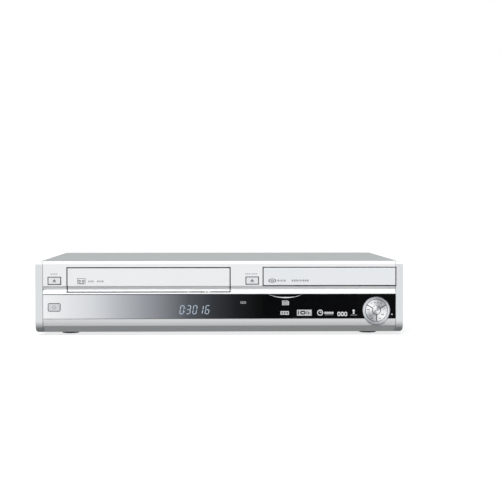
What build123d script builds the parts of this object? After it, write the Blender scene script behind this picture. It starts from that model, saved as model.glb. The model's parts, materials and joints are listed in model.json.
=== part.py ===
from build123d import *
import math
import os

# Disc and tape recorder: a 430 mm wide silver hi-fi case with a cassette deck on the left, a disc
# drive with a sliding tray on the right and a hard drive behind it.
#
# Frame: millimetres, +Z up, +X to the right as seen by the user, the front face towards -Y. The origin
# is the centre of the footprint, on the surface that the feet stand on.

os.makedirs("parts", exist_ok=True)

# ---------------------------------------------------------------- case
WIDTH = 430.0
DEPTH = 340.0
HEIGHT = 87.5
FOOT_LIFT = 4.3            # floor to the underside of the front panel
SHEET = 1.0                # chassis steel
COVER_SHEET = 0.8          # cover and rear panel steel
MOULD_WALL = 2.2           # wall of the plastic mouldings
SEAM = 0.3                 # gap between neighbouring pieces of the case
FIT = 0.3                  # clearance round a piece that moves in an opening
PIN_PLAY = 0.15            # radial clearance of a pin in its slot
TOUCH = 0.2                # air between neighbouring pieces inside the case
RUNNING = 0.06             # radial clearance of a shaft in its bore

# ---------------------------------------------------------------- front panel, bottom to top
CHIN_SLOPE_H = 7.5         # lower, backward sloping part of the chin
CHIN_H = 15.5              # whole chin
WINDOW_SLOT_H = 0.336 * HEIGHT      # recess that holds the window
RIDGE_H = 4.9              # ridge, from the window recess to the bottom of the groove
GROOVE_H = 4.5             # slope from the groove's bottom to the flat upper face
CHIN_SLOPE_DEPTH = 6.6
CHIN_CROWN = 2.6           # chin's crease behind its upper edge
CHIN_BULGE = 0.31          # chin's arc in front of the line between its edges
CHIN_SET = 0.8             # chin's upper edge behind the foremost plane
FACE_SET = 1.0             # flat upper face behind the ridge's nose
GROOVE_DEPTH = 3.0
RIDGE_NOSE_H = 0.6
EDGE_R = 3.5               # rounded top edge
PANEL_DEPTH = 20.0         # foremost plane to the panel's rear edge

CAP_WIDTH = 8.6            # end cap beside the panel
CAP_CORNER_R = 5.5
CAP_FOOT_R = 12.0          # rounded lower front corner
CAP_FOOT_CHAMFER = 2.0
CAP_SET = 0.6              # cap's face behind the foremost plane
CAP_SEAM = 0.4
POST_AT = (-0.873, -0.461, 0.0485, 0.291, 0.727)   # panel posts, as parts of the half width
HOOK_AT = (-0.776, -0.267, 0.194, 0.776)
HOOK_HALF = 6.0
HOOK_REACH = 8.0           # over the chassis plate
HOOK_T = 1.6
COVER_INSET = 2.5          # cover's side behind the end cap's side
COVER_DROP = 0.5           # cover's top below the panel's top
COVER_FOLD_R = 2.5
COVER_FLANGE_H = 9.0

FRONT_Y = -DEPTH / 2
REAR_Y = DEPTH / 2
PANEL_HALF = WIDTH / 2 - CAP_WIDTH - CAP_SEAM / 2
CHIN_CREASE_Z = FOOT_LIFT + CHIN_SLOPE_H
SLOT_Z0 = FOOT_LIFT + CHIN_H
SLOT_Z1 = SLOT_Z0 + WINDOW_SLOT_H
GROOVE_Z = SLOT_Z1 + RIDGE_H
FACE_Z0 = GROOVE_Z + GROOVE_H
FACE_Y = FRONT_Y + FACE_SET
PANEL_BACK = FRONT_Y + PANEL_DEPTH

# ---------------------------------------------------------------- window and display
WINDOW_T = 2.6
WINDOW_SET = 0.8           # window's face behind the foremost plane
WINDOW_GAP = 0.6           # line above and below the window
WINDOW_Y = FRONT_Y + WINDOW_SET
SEAT_Y = WINDOW_Y + WINDOW_T
WINDOW_Z0 = SLOT_Z0 + WINDOW_GAP
WINDOW_Z1 = SLOT_Z1 - WINDOW_GAP
DISPLAY_X = -30.0
DISPLAY_W = 62.0
DISPLAY_H = 18.0
DISPLAY_Z = 30.6
DISPLAY_T = 6.0
DISPLAY_AIR = 1.0          # display's glass in front of the control board
DISPLAY_FRAME = 4.0        # display's width beyond its opening
DISPLAY_LEG_DX = 24.0

# ---------------------------------------------------------------- cassette flap
FLAP_INSET = 28.5          # panel's left end to the flap
FLAP_W = 0.44035 * WIDTH
FLAP_H = 0.31543 * HEIGHT
FLAP_DROP = 2.2            # flap's lower edge below the groove
FLAP_Z0 = GROOVE_Z - FLAP_DROP
FLAP_GAP = 0.9
FLAP_PIVOT_BACK = 4.7      # pivot behind the flat face
FLAP_PIVOT_UP = 2.8        # pivot above the flap's upper edge
FLAP_EAR_R = 2.0
FLAP_EAR_T = 2.0
FLAP_PIN_R = 1.0
FLAP_PIN_L = 2.8
FLAP_LINE_INSET = 4.6
FLAP_LINE_W = 0.8
FLAP_LINE_DEPTH = 0.5
FLAP_RIB_DROP = 8.0        # flap's upper edge to the rib along its inside
FLAP_RIB_H = 1.5
FLAP_RIB_T = 2.0
BEARING_T = 2.4
BEARING_WALL = 0.8
BEARING_DROP = 4.5         # bearing's lower edge below the pivot
FLAP_X0 = -PANEL_HALF + FLAP_INSET
FLAP_X1 = FLAP_X0 + FLAP_W
FLAP_Z1 = FLAP_Z0 + FLAP_H
PIVOT_Y = FACE_Y + FLAP_PIVOT_BACK
PIVOT_Z = FLAP_Z1 + FLAP_PIVOT_UP

# ---------------------------------------------------------------- disc tray fascia
FASCIA_W = 0.36058 * WIDTH
FASCIA_H = 0.23543 * HEIGHT
FASCIA_RISE = 0.6          # fascia's lower edge above the groove
FASCIA_T = 3.0
FASCIA_PROUD = 0.3
FASCIA_GAP = 0.8
FASCIA_CHAMFER = 0.6
FASCIA_X1 = PANEL_HALF - 0.1
FASCIA_X0 = FASCIA_X1 - FASCIA_W
FASCIA_Z0 = FACE_Z0 + FASCIA_RISE
FASCIA_Z1 = FASCIA_Z0 + FASCIA_H
FASCIA_Y = FACE_Y - FASCIA_PROUD

# ---------------------------------------------------------------- buttons
BUTTON_W = 14.2
BUTTON_H = 7.9
BUTTON_R = 1.2
BUTTON_GAP = 0.6
BUTTON_EDGE = 0.4          # softened rim
BUTTON_PROUD = 0.5
BUTTON_LENGTH = 5.0
BUTTON_TRAVEL = 0.7
BUTTON_RISE = 6.1          # button's centre above the groove's upper edge
EJECT_INSET = 13.4         # panel's left end to the eject button
OPEN_INSET = 13.05         # fascia's left end to the open button
POWER_INSET = 13.05
POWER_W = 13.6
POWER_H = 8.6
POWER_Z = 33.7
STEM_R = 1.6
EJECT_X = -PANEL_HALF + EJECT_INSET
OPEN_X = FASCIA_X0 - OPEN_INSET
BUTTON_Z = FACE_Z0 + BUTTON_RISE
POWER_X = -PANEL_HALF + POWER_INSET

# ---------------------------------------------------------------- key cluster
RING_INSET = 22.4          # panel's right end to the cluster's centre
RING_Z = 29.6
RING_R = 16.3
RING_BORE_R = 12.9
RING_LENGTH = 8.0
RING_EDGE = 1.0            # rounded outer edge
RING_LEAD = 0.7            # bevel inside the ring
DISH_R = RING_R + 0.6
BOSS_WALL = 1.6            # wall round the dish
BOSS_DEPTH = 6.0
KEY_GAP = 0.9
KEY_CENTRE_R = 4.5
KEY_LENGTH = 4.5
KEY_CONE = 0.5             # keys' outer edge behind their inner edge
KEY_ANGLES = (30.0, 150.0, 270.0)   # gaps between the sector keys
RING_X = PANEL_HALF - RING_INSET

# ---------------------------------------------------------------- front door
DOOR_INSET = 0.3628 * WIDTH     # panel's right end to the door's left end
DOOR_W = 0.2558 * WIDTH
DOOR_T = 2.2
DOOR_LAP = 3.5             # door over the edge of the opening behind it
DOOR_GAP = 0.25
DOOR_PIN_R = 0.7
DOOR_PIN_L = 1.6
DOOR_PIVOT_RISE = 1.1      # pivot above the door's lower edge
SCOOP_R = 48.8
SCOOP_DROP = 4.4
SCOOP_INSET = 26.8         # door's left end to the scoop's centre
SCOOP_DEPTH = 1.3
SCOOP_LEAN = 48.0
DOOR_X0 = PANEL_HALF - DOOR_INSET
DOOR_X1 = DOOR_X0 + DOOR_W
DOOR_PIVOT_Y = WINDOW_Y + DOOR_T / 2
DOOR_PIVOT_Z = WINDOW_Z0 + DOOR_PIVOT_RISE

# ---------------------------------------------------------------- control board and front sockets
BOARD_T = 1.6
CONTROL_Y = FRONT_Y + 12.0     # front face of the control board
CONTROL_INSET = 3.0
CONTROL_Z0 = 9.0
CONTROL_Z1 = 46.0
CONTROL_TAB_Z1 = 72.0
CONTROL_TAB_W = 17.5
PANEL_POST_R = 2.5
PANEL_POST_Z = 13.0
SWITCH_HALF = 2.4
SWITCH_DEPTH = 2.0
SWITCH_AIR = 0.2           # left between stem and switch at the end of the travel
SOCKET_ROW_Z = 33.5
PHONO_PITCH = 14.0
PHONO_R = 4.15
PHONO_WALL = 0.7
PHONO_BORE_R = 1.7
FRONT_PHONO_INSET = 12.0   # door's left end to the first front socket
CARD_W = 30.0
CARD_D = 4.0
CARD_HALF_H = 3.0
CARD_MARGIN = 2.8          # card reader's end to its slot
CARD_SLOT_HALF_H = 1.2
CARD_GAP = 8.0             # last socket's block to the card reader
FRONT_SOCKET_MARGIN = 7.0
FRONT_SOCKET_DEPTH = 6.0
FRONT_JACK_L = 3.5
FRONT_SOCKET_SET = 6.4     # socket block behind the panel's wall
FRONT_SOCKET_BACK = 11.0   # block's back behind the control board's face
DIN_R = 4.6

# ---------------------------------------------------------------- chassis, cover, rear panel
CHASSIS_Z = 6.0            # underside of the chassis plate
CHASSIS_WALL_H = 18.0
REAR_SOCKET_REACH = 8.8    # longest socket behind the rear panel
FOOT_R = 10.5
FOOT_INSET = 36.5          # case's side to the feet's centres
FOOT_FRONT_BACK = 50.5     # foremost plane to the front feet's centres
FOOT_REAR_IN = 42.0
FOOT_EDGE_R = 1.6
BOARD_Z = 14.0             # underside of the main and power supply boards
BOSS_R = 4.0
VENTS = 9
VENT_PITCH = 12.0
VENT_HALF = 1.5
FLOOR_VENT_IN = 17.0       # board's end to the first floor vent
FLOOR_VENT_L = 34.0
FLOOR_VENT_BACK = 30.0     # rear panel to the floor vents
SIDE_VENT_BACK = 32.4      # rear panel to the last side vent
SIDE_VENT_Z0 = 52.0
SIDE_VENT_Z1 = 70.0
SCREW_HEAD_R = 2.8
SCREW_HEAD_H = 1.8
SCREW_R = 1.4
SCREW_L = 4.0
SCREW_CLEAR = 0.15
SIDE_SCREW_Z = 18.0
SIDE_SCREW_IN = 80.0       # foremost plane to the front side screws
SIDE_SCREW_BACK = 60.0
FLANGE_SCREW_DROP = 5.0     # below the panel's top
COVER_HALF = WIDTH / 2 - COVER_INSET
COVER_Z1 = HEIGHT - COVER_DROP
COVER_Y0 = PANEL_BACK - 3.0 + SEAM
REAR_FACE_Y = REAR_Y - REAR_SOCKET_REACH
REAR_IN_Y = REAR_FACE_Y - COVER_SHEET
CHASSIS_HALF = COVER_HALF - COVER_SHEET - SEAM
FLOOR_Z = CHASSIS_Z + SHEET
COVER_IN_Z = COVER_Z1 - COVER_SHEET
FLANGE_SCREW_Z = HEIGHT - FLANGE_SCREW_DROP
FOOT_FRONT_Y = FRONT_Y + FOOT_FRONT_BACK
FOOT_REAR_Y = REAR_FACE_Y - FOOT_REAR_IN
FOOT_X = WIDTH / 2 - FOOT_INSET

# ---------------------------------------------------------------- tape deck
DECK_X = (FLAP_X0 + FLAP_X1) / 2
DECK_HALF = FLAP_W / 2 + 4.3
DECK_Z = 24.0
DECK_T = 2.0
DECK_TOP = DECK_Z + DECK_T
DECK_RIM = 4.0
DECK_RIM_T = 2.0
DECK_POST_IN = 8.0
CASSETTE_W = FLAP_W - 1.95
REEL_SPREAD = 41.5
REEL_Y = FRONT_Y + 0.225 * DEPTH
REEL_R = 17.0
REEL_HUB_R = 10.5
REEL_POST_R = 2.5
REEL_RIM_H = 4.0
REEL_TOP_Z = 41.0
DRUM_Y = FRONT_Y + 0.5118 * DEPTH
DRUM_R = 31.0
DRUM_TILT = 6.0
DRUM_LOWER_H = 16.0
DRUM_UPPER_H = 15.0
DRUM_SLIT = 0.4
DRUM_Z = 31.0
DRUM_SHAFT_R = 4.0
CAPSTAN_DX = 55.0
CAPSTAN_Y = FRONT_Y + 0.4118 * DEPTH
CAPSTAN_R = 2.0
CAPSTAN_TOP_Z = 52.0
CAPSTAN_HUB_R = 6.0
STATOR_R = 18.0
STATOR_H = 3.6
FLYWHEEL_R = 24.0
FLYWHEEL_H = 7.0
PINCH_R = 6.0
PINCH_GAP = 0.4
PINCH_SWING = 30.0
PINCH_ARM_L = 22.9
PINCH_POST_R = 2.0
PINCH_POST_L = 8.0
PINCH_PIN_R = 1.5
PINCH_ROLLER_Z = 5.0       # arm's underside to the roller
PINCH_ROLLER_L = 15.0
# posts and heads, from the drum's axis
GUIDE_AT = ((-46, -20), (46, -16), (-40, 26), (40, 26))
HEAD_AT = ((-62, 6), (34, -26))
GUIDE_POST_R = 1.5
GUIDE_BASE_R = 2.6
GUIDE_FLANGE_R = 3.4
GUIDE_BASE_H = 8.0
GUIDE_POST_H = 24.0
HEAD_H = 22.0
LOADING_DX = 80.0
LOADING_DY = -8.0
LOADING_R = 9.0
LOADING_L = 24.0
LOADING_LIFT = 10.0        # motor's axis above the deck
WORM_R = 3.0
WORM_L = 14.0

# ---------------------------------------------------------------- cassette holder
HOLDER_SHEET = 1.0
HOLDER_FRONT = FRONT_Y + 0.1106 * DEPTH
HOLDER_LENGTH = 0.1412 * DEPTH
HOLDER_RAIL = 14.0
HOLDER_IN = 0.14706 * DEPTH    # travel towards the rear
HOLDER_DOWN = 18.0         # travel down onto the reels
HOLDER_SLACK = 0.7         # beside the cassette, each side
HOLDER_PIN_R = 1.5
HOLDER_PIN_DROP = 6.0      # below the holder's top
HOLDER_PIN_IN = 8.0        # from the holder's ends
SLIDE_H = 30.0
SLIDE_PIN_R = 1.4
SLIDE_PIN_IN = 3.0
GUIDE_Z1 = COVER_IN_Z - 3.7
GUIDE_Y0 = FRONT_Y + 0.0941 * DEPTH
GUIDE_Y1 = FRONT_Y + 0.4059 * DEPTH
GUIDE_BRIDGE = 30.0
SLIDE_Z1 = GUIDE_Z1 - 2.5
SLIDE_Z0 = SLIDE_Z1 - SLIDE_H
SLIDE_PIN_Z = GUIDE_Z1 - 5.1
CASSETTE_Z = FLAP_Z0 - 0.4
HOLDER_HALF = CASSETTE_W / 2 + HOLDER_SLACK + HOLDER_SHEET
HOLDER_TOP_Z = FLAP_Z1 - 0.4

# ---------------------------------------------------------------- disc drive
DRIVE_HALF = FASCIA_W / 2 - 3.025
DRIVE_Y0 = PANEL_BACK
DRIVE_Z0 = FASCIA_Z0 - 16.2
DRIVE_Z1 = COVER_IN_Z - 2.2
LID_T = 1.0
TRAY_HALF = DRIVE_HALF - 8.5
TRAY_Z0 = FASCIA_Z0 + 0.35437 * FASCIA_H
TRAY_T = 7.0
TRAY_Z1 = TRAY_Z0 + TRAY_T
TRAY_FLOOR_Z = TRAY_Z0 + 2.5
TRAY_INNER_Z = TRAY_Z0 + 1.5
TRAY_LENGTH = 0.4853 * DEPTH
TRAY_TRAVEL = 0.8 * TRAY_LENGTH
TRAY_TAIL = 31.3           # drive's length behind the closed tray
RUNNER_T = 2.0
RUNNER_STOP_L = 12.0
RUNNER_STOP_T = 1.6
TRAY_WING = 2.2
TRAY_WING_T = 2.0
TRAY_CORNER_R = 6.0
FINGER_NOTCH_HALF = 11.0
TRAY_CLEAR = 0.3
DISC_BACK = 67.0           # tray's front end to the disc's centre
DISC_R = TRAY_HALF - 5.5
DISC_SMALL_R = DISC_R - 20.0
TRAY_SLOT_HALF = 20.0
TRAY_SLOT_L = 64.0
RACK_INSET = 6.0           # tray's left side to the rack's back
RACK_BACK = 2.5
RACK_DEPTH = 5.0
MODULE = 1.25
DEDENDUM = 1.25 * MODULE
PINION_TEETH = 12
BACKLASH = 0.24
PRESSURE_ANGLE = 20.0
PULLEY_R = 12.0
PULLEY_H = 4.0
GEAR_POST_R = 2.0
MOTOR_R = 10.0
MOTOR_PULLEY_R = 3.2
MOTOR_DX = 44.0
CLAMP_Z = TRAY_Z1 + 3.0
CLAMP_R = 16.0
CLAMP_NECK_R = 13.6
CLAMP_CAP_R = 16.4
LID_HOLE_R = 14.0
GEAR_Z0 = DRIVE_Z0 + 7.0
BELT_T = 1.2
BELT_H = 1.2
BELT_AIR = 0.3
GROOVE_IN = 1.4            # pulley's groove below its rim
MOTOR_FLAT_X = 9.0
MOTOR_FLAT_Y = 7.5
MOTOR_SHAFT_R = 1.0
TRAVERSE_HALF = 40.0
TRAVERSE_Z = DRIVE_Z0 + 11.0
TRAVERSE_T = 2.0
TRAVERSE_FRONT = 18.0      # disc's centre to the frame's front edge
TRAVERSE_BACK = 82.0
ROD_BLOCK_Y = 9.8          # disc's centre to the front bearings of the rods
ROD_BLOCK_L = 4.0
ROD_BLOCK_HALF = 3.0
SHELF_L = 10.0
TURNTABLE_R = 15.0
TURNTABLE_Z = TRAVERSE_Z + 8.3
TURNTABLE_T = 1.5
SPINDLE_R = 1.5
SPINDLE_MOTOR_R = 12.5
HUB_RISE = 2.2
HUB_R0 = 7.4
HUB_R1 = 6.2
SLED_BACK = 27.5           # disc's centre to the sled's centre
SLED_HALF_X = 21.0
SLED_HALF_Y = 12.5
SLED_AIR = 0.8
LENS_R = 4.0
ROD_R = 1.5
ROD_SPREAD = 17.0
ROD_COVER = 2.0            # metal above the rods' axis
BRIDGE_T = 1.2
BRIDGE_SET = 26.0          # drive's front to the bridge under it
BRIDGE_FOOT = 10.0
BRIDGE_HOLE = 100.0
DRIVE_X = (FASCIA_X0 + FASCIA_X1) / 2
TRAY_Y0 = FASCIA_Y + FASCIA_T
TRAY_Y1 = TRAY_Y0 + TRAY_LENGTH
DISC_Y = TRAY_Y0 + DISC_BACK
SLED_Y = DISC_Y + SLED_BACK
DRIVE_Y1 = TRAY_Y1 + TRAY_TAIL
ROD_Z = TRAVERSE_Z + TRAVERSE_T + ROD_R + 0.6
ROD_Y0 = DISC_Y + ROD_BLOCK_Y + ROD_BLOCK_L
ROD_Y1 = DISC_Y + TRAVERSE_BACK - 6.0
PITCH = math.pi * MODULE
PINION_R = MODULE * PINION_TEETH / 2
RACK_LINE_X = DRIVE_X - TRAY_HALF + RACK_INSET + RACK_BACK + DEDENDUM
PINION_X = RACK_LINE_X + PINION_R
PINION_Y = TRAY_Y1 - TRAY_TRAVEL - 8.0

# ---------------------------------------------------------------- rear half of the machine
HDD_X = DRIVE_X
HDD_W = 147.0
HDD_D = 0.2988 * DEPTH
HDD_H = 26.1
HDD_Y0 = REAR_IN_Y - HDD_D - 20.8
HDD_Y1 = HDD_Y0 + HDD_D
HDD_Z0 = 40.0
HDD_TRAY_T = 1.2
HDD_TRAY_LIP = 3.0
HDD_TRAY_WALL = 12.0
HDD_LID_T = 1.0
HDD_LID_IN = 3.0
BOARD_SIDE = 6.4           # chassis side to the boards' ends
BOARD_REAR = 0.6           # rear panel to the boards' rear edges
BOARD_HOLE_IN = 8.0        # board's edge to its fixing bosses
MAIN_X0 = -0.1163 * WIDTH
MAIN_X1 = CHASSIS_HALF - BOARD_SIDE
MAIN_Y0 = HDD_Y0 + 6.0
PSU_X0 = -CHASSIS_HALF + BOARD_SIDE
PSU_X1 = -0.1535 * WIDTH
PSU_Y0 = REAR_IN_Y - 86.4
BOARD_Y1 = REAR_IN_Y - BOARD_REAR
DECK_Y1 = MAIN_Y0 - 4.0
# side, height and centre from the middle of the board
CHIPS = (
    (28, 2.2, -37.5, -36), (32, 2.4, 10.5, -28), (20, 1.6, 62.5, -32),
    (22, 1.8, -67.5, -2), (18, 1.6, 22.5, 10),
)
MAIN_CANS = ((-113.5, -42), (-101.5, -42), (-113.5, -28), (88.5, -42))
CAN_R = 4.0
CAN_H = 11.0
FIN_SIDE = 24.0
FIN_T = 1.6
FIN_PITCH = 5.6
FIN_H = 8.0
CORE_X = 24.5              # transformer, from the middle of the power supply board
CORE_Y = -4.0
CORE_W = 34.0
CORE_D = 30.0
CORE_H = 26.0
CORE_T = 5.0
CORE_LEG = 7.0
# radius, height and centre from the middle of the board
PSU_CANS = ((11, 32, -24.5, -21), (5, 20, 51.5, -25), (5, 20, 51.5, -11), (5, 20, 51.5, 3))
SINK_X = -9.0
SINK_Y0 = -33.0
SINK_L = 56.0
SINK_H = 34.0
SINK_T = 3.0
SINK_FIN_REACH = 4.0
FAN_X = -30.0
FAN_SIZE = 60.0
FAN_T = 15.0
FAN_BORE_R = 28.5
FAN_HUB_R = 14.0
FAN_TIP_R = 27.5
FAN_BLADES = 7
FAN_SPIDER_T = 2.0
FAN_SHAFT_R = 2.0
FAN_SHAFT_L = 10.0
BLADE_ROOT_TURN = 32.0
BLADE_TIP_TURN = 50.0
FAN_Z = 46.0
GRILLE_R = 26.0
GRILLE_PITCH = 5.6
GRILLE_HALF = 1.7
GRILLE_BAR_HALF = 1.3
INLET_X = PSU_X0 + 23.0
INLET_Z = 28.0
INLET_W = 24.0
INLET_H = 14.0
INLET_R = 1.3
INLET_D = 14.0
INLET_RIM = 3.0
INLET_RIM_T = 1.2
INLET_RECESS = 12.0
INLET_LOBE_R = 4.1
INLET_PIN_DX = 4.0
INLET_PIN_R = 1.2
INLET_WAIST = 2.6
SCART_X = 42.0
SCART_Z = (30.0, 56.0)
SCART_W = 56.0
SCART_H = 17.0
SCART_D = 18.0
SCART_MOUTH_HALF_W = 23.5
SCART_MOUTH_HALF_H = 6.4
SCART_MOUTH_D = 12.0
SCART_KEY = 3.0            # slanted corner
SCART_BAR_HALF = 20.0
SCART_BAR_T = 3.8
PHONO_X = 100.0
PHONO_Z = 34.0
PHONO_COLLAR = 0.9
PHONO_BLOCK_D = 13.0
HDMI_X = 142.0
HDMI_HALF_W = 7.6
HDMI_HALF_H = 3.2
HDMI_WALL = 0.5
HDMI_MOUTH_D = 9.0
HDMI_KEY = 1.8             # slanted corners
HDMI_TONGUE_HALF = 5.5
OPTICAL_X = 158.0
OPTICAL_HALF = 5.0
SHUTTER_HALF = 3.2
DIGITAL_Z = 26.0
DIGITAL_D = 12.0
AERIAL_X = MAIN_X1 - 17.0
AERIAL_Z = (30.0, 54.0)
CAN_HALF = 13.0
CAN_D = 17.8
CAN_RISE = 9.0             # can's top above the upper socket
AERIAL_R = 4.75
AERIAL_FLANGE_R = 6.4
AERIAL_FLANGE_T = 0.5      # flange behind the rear panel

PARTS = {}


# ---------------------------------------------------------------- drawing helpers
def rect(u0, u1, v0, v1):
    """A rectangle between two corners of a sketch."""
    return Pos((u0 + u1) / 2, (v0 + v1) / 2) * Rectangle(u1 - u0, v1 - v0)


def round_rect(u, v, width, height, radius):
    return Pos(u, v) * RectangleRounded(width, height, radius)


def disc(u, v, radius):
    return Pos(u, v) * Circle(radius)


def polygon(*points):
    return make_face(Polyline(*points, close=True))


def along_x(sketch, x0, x1):
    """Extrude a (y, z) sketch from x0 to x1."""
    return extrude(Plane.YZ.offset(x0) * sketch, x1 - x0)


def along_y(sketch, y0, y1):
    """Extrude an (x, z) sketch from y0 to y1."""
    return extrude(Plane.XZ.offset(-y1) * sketch, y1 - y0)


def along_z(sketch, z0, z1):
    """Extrude an (x, y) sketch from z0 to z1."""
    return extrude(Plane.XY.offset(z0) * sketch, z1 - z0)


def block(x0, x1, y0, y1, z0, z1):
    return along_z(rect(x0, x1, y0, y1), z0, z1)


def group(pieces):
    """Separate solids kept in one node."""
    return Compound(children=[solid for piece in pieces for solid in piece.solids()])


# ---------------------------------------------------------------- front mouldings
def front_section():
    """Side view of the front panel's outer form, closed at the panel's rear edge."""
    chin_y = FRONT_Y + CHIN_SET
    crease_y = chin_y + CHIN_CROWN
    top = HEIGHT
    points = [
        (PANEL_BACK, top),
        (FACE_Y + EDGE_R, top),
        (FACE_Y, top - EDGE_R),
        (FACE_Y, FACE_Z0),
        (FACE_Y + GROOVE_DEPTH, GROOVE_Z),
        (FRONT_Y, SLOT_Z1 + RIDGE_NOSE_H),
        (FRONT_Y, SLOT_Z1),
        (SEAT_Y, SLOT_Z1),
        (SEAT_Y, SLOT_Z0),
        (chin_y, SLOT_Z0),
        (crease_y, CHIN_CREASE_Z),
        (crease_y + CHIN_SLOPE_DEPTH, FOOT_LIFT),
        (PANEL_BACK, FOOT_LIFT),
    ]
    round_in = EDGE_R * (1 - math.sqrt(0.5))
    edge = ThreePointArc(points[1], (FACE_Y + round_in, top - round_in), points[2])
    rise = SLOT_Z0 - CHIN_CREASE_Z
    chord = math.hypot(CHIN_CROWN, rise)
    crown_y = (chin_y + crease_y) / 2 - CHIN_BULGE * rise / chord
    crown_z = (SLOT_Z0 + CHIN_CREASE_Z) / 2 - CHIN_BULGE * CHIN_CROWN / chord
    crown = ThreePointArc(points[9], (crown_y, crown_z), points[10])
    lines = [Line(points[0], points[1]), edge, Polyline(*points[2:10]), crown]
    lines.append(Polyline(*points[10:], points[0]))
    return make_face(lines)


def front_shell_section():
    """The front panel's wall, open to the rear."""
    outer = front_section()
    inner = offset(outer, amount=-MOULD_WALL, kind=Kind.INTERSECTION)
    open_back = rect(PANEL_BACK - 6, PANEL_BACK + 1, FOOT_LIFT + MOULD_WALL, HEIGHT - MOULD_WALL)
    top_relief = rect(COVER_Y0 - SEAM, PANEL_BACK + 1, HEIGHT - MOULD_WALL - 1, HEIGHT + 1)
    return outer - inner - open_back - top_relief


def opening(x, z, width, height, radius, gap):
    """A rounded hole through the front wall."""
    hole = round_rect(x, z, width + 2 * gap, height + 2 * gap, radius + gap)
    return along_y(hole, FRONT_Y - 2, CONTROL_Y - 1)


def make_front_panel():
    wall = along_x(front_shell_section(), -PANEL_HALF, PANEL_HALF)
    body = along_x(front_section(), -PANEL_HALF, PANEL_HALF)
    # boss that carries the key cluster's ring, trimmed to the chin
    boss = along_y(disc(RING_X, RING_Z, DISH_R + BOSS_WALL), SEAT_Y, SEAT_Y + BOSS_DEPTH) & body
    wall = wall + boss
    for part in POST_AT:
        post = disc(part * PANEL_HALF, PANEL_POST_Z, PANEL_POST_R)
        wall = wall + (along_y(post, SEAT_Y, CONTROL_Y) & body)
    # bearings of the cassette flap, behind the wall at both ends of its opening
    for side, x in ((-1, FLAP_X0 - FLAP_GAP), (1, FLAP_X1 + FLAP_GAP)):
        x0, x1 = sorted((x, x + side * BEARING_T))
        ear = rect(FACE_Y + 1.0, PIVOT_Y + FLAP_EAR_R + BEARING_WALL, PIVOT_Z - BEARING_DROP, HEIGHT - 1.0)
        wall = wall + along_x(ear - disc(PIVOT_Y, PIVOT_Z, FLAP_PIN_R + RUNNING), x0, x1)
    cuts = [
        # cassette opening
        along_y(rect(FLAP_X0 - FLAP_GAP, FLAP_X1 + FLAP_GAP, FLAP_Z0 - FLAP_GAP, FLAP_Z1 + FLAP_GAP),
                FRONT_Y - 1, CONTROL_Y),
        # disc tray opening, open to the end cap
        along_y(rect(FASCIA_X0 - FASCIA_GAP, PANEL_HALF + 1, FASCIA_Z0 - FASCIA_GAP, FASCIA_Z1 + FASCIA_GAP),
                FRONT_Y - 1, PANEL_BACK + 1),
        opening(EJECT_X, BUTTON_Z, BUTTON_W, BUTTON_H, BUTTON_R, BUTTON_GAP),
        opening(OPEN_X, BUTTON_Z, BUTTON_W, BUTTON_H, BUTTON_R, BUTTON_GAP),
        opening(POWER_X, POWER_Z, POWER_W, POWER_H, BUTTON_R, BUTTON_GAP),
        opening(DISPLAY_X, DISPLAY_Z, DISPLAY_W - DISPLAY_FRAME, DISPLAY_H - DISPLAY_FRAME, 1.0, 0),
        # front sockets behind the door
        along_y(rect(DOOR_X0 + DOOR_LAP, DOOR_X1 - DOOR_LAP, WINDOW_Z0 + DOOR_LAP, WINDOW_Z1 - DOOR_LAP),
                SEAT_Y - 1, CONTROL_Y),
        # key cluster: dish in the face and bore for the ring
        along_y(disc(RING_X, RING_Z, DISH_R), FRONT_Y - 1, SEAT_Y),
        along_y(disc(RING_X, RING_Z, RING_R + FIT), FRONT_Y - 1, CONTROL_Y),
    ]
    for cut in cuts:
        wall = wall - cut
    # hooks over the chassis plate
    for part in HOOK_AT:
        x0, x1 = part * PANEL_HALF - HOOK_HALF, part * PANEL_HALF + HOOK_HALF
        z0 = FLOOR_Z + TOUCH
        wall = wall + block(x0, x1, PANEL_BACK - HOOK_HALF, PANEL_BACK + HOOK_REACH, z0, z0 + HOOK_T)
        wall = wall + block(x0, x1, PANEL_BACK - HOOK_HALF, PANEL_BACK - 1, FOOT_LIFT + 1, z0 + HOOK_T)
    PARTS["front_panel"] = wall


def make_end_caps():
    crease_y = FRONT_Y + CHIN_SET + CHIN_CROWN
    face_y = FRONT_Y + CAP_SET
    back_y = COVER_Y0 - SEAM
    outline = polygon(
        (back_y, HEIGHT),
        (face_y + EDGE_R, HEIGHT),
        (face_y + 1.0, HEIGHT - 1.0),
        (face_y, HEIGHT - EDGE_R),
        (face_y, CHIN_CREASE_Z),
        (crease_y + CHIN_SLOPE_DEPTH, FOOT_LIFT),
        (back_y, FOOT_LIFT),
    )
    foot_corner = [v for v in outline.vertices() if abs(v.Y - CHIN_CREASE_Z) < 0.01]
    outline = fillet(foot_corner, CAP_FOOT_R)
    hollow = offset(outline, amount=-MOULD_WALL, kind=Kind.INTERSECTION)
    hollow = hollow + rect(back_y - 6, back_y + 1, FOOT_LIFT + MOULD_WALL, HEIGHT - MOULD_WALL)
    inner_x = PANEL_HALF + CAP_SEAM
    outer_x = WIDTH / 2
    front_view = rect(inner_x - 20, outer_x, FOOT_LIFT, HEIGHT)
    corners = [v for v in front_view.vertices() if v.X > outer_x - 1 and v.Y > HEIGHT - 1]
    front_view = fillet(corners, CAP_CORNER_R)
    corners = [v for v in front_view.vertices() if v.X > outer_x - 1 and v.Y < FOOT_LIFT + 1]
    front_view = chamfer(corners, CAP_FOOT_CHAMFER)
    cap = along_x(outline, inner_x, outer_x) & along_y(front_view, FRONT_Y, back_y)
    cap = cap - along_x(hollow, inner_x - 1, outer_x - MOULD_WALL)
    PARTS["end_cap_right"] = cap
    PARTS["end_cap_left"] = mirror(cap, about=Plane.YZ)


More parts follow.
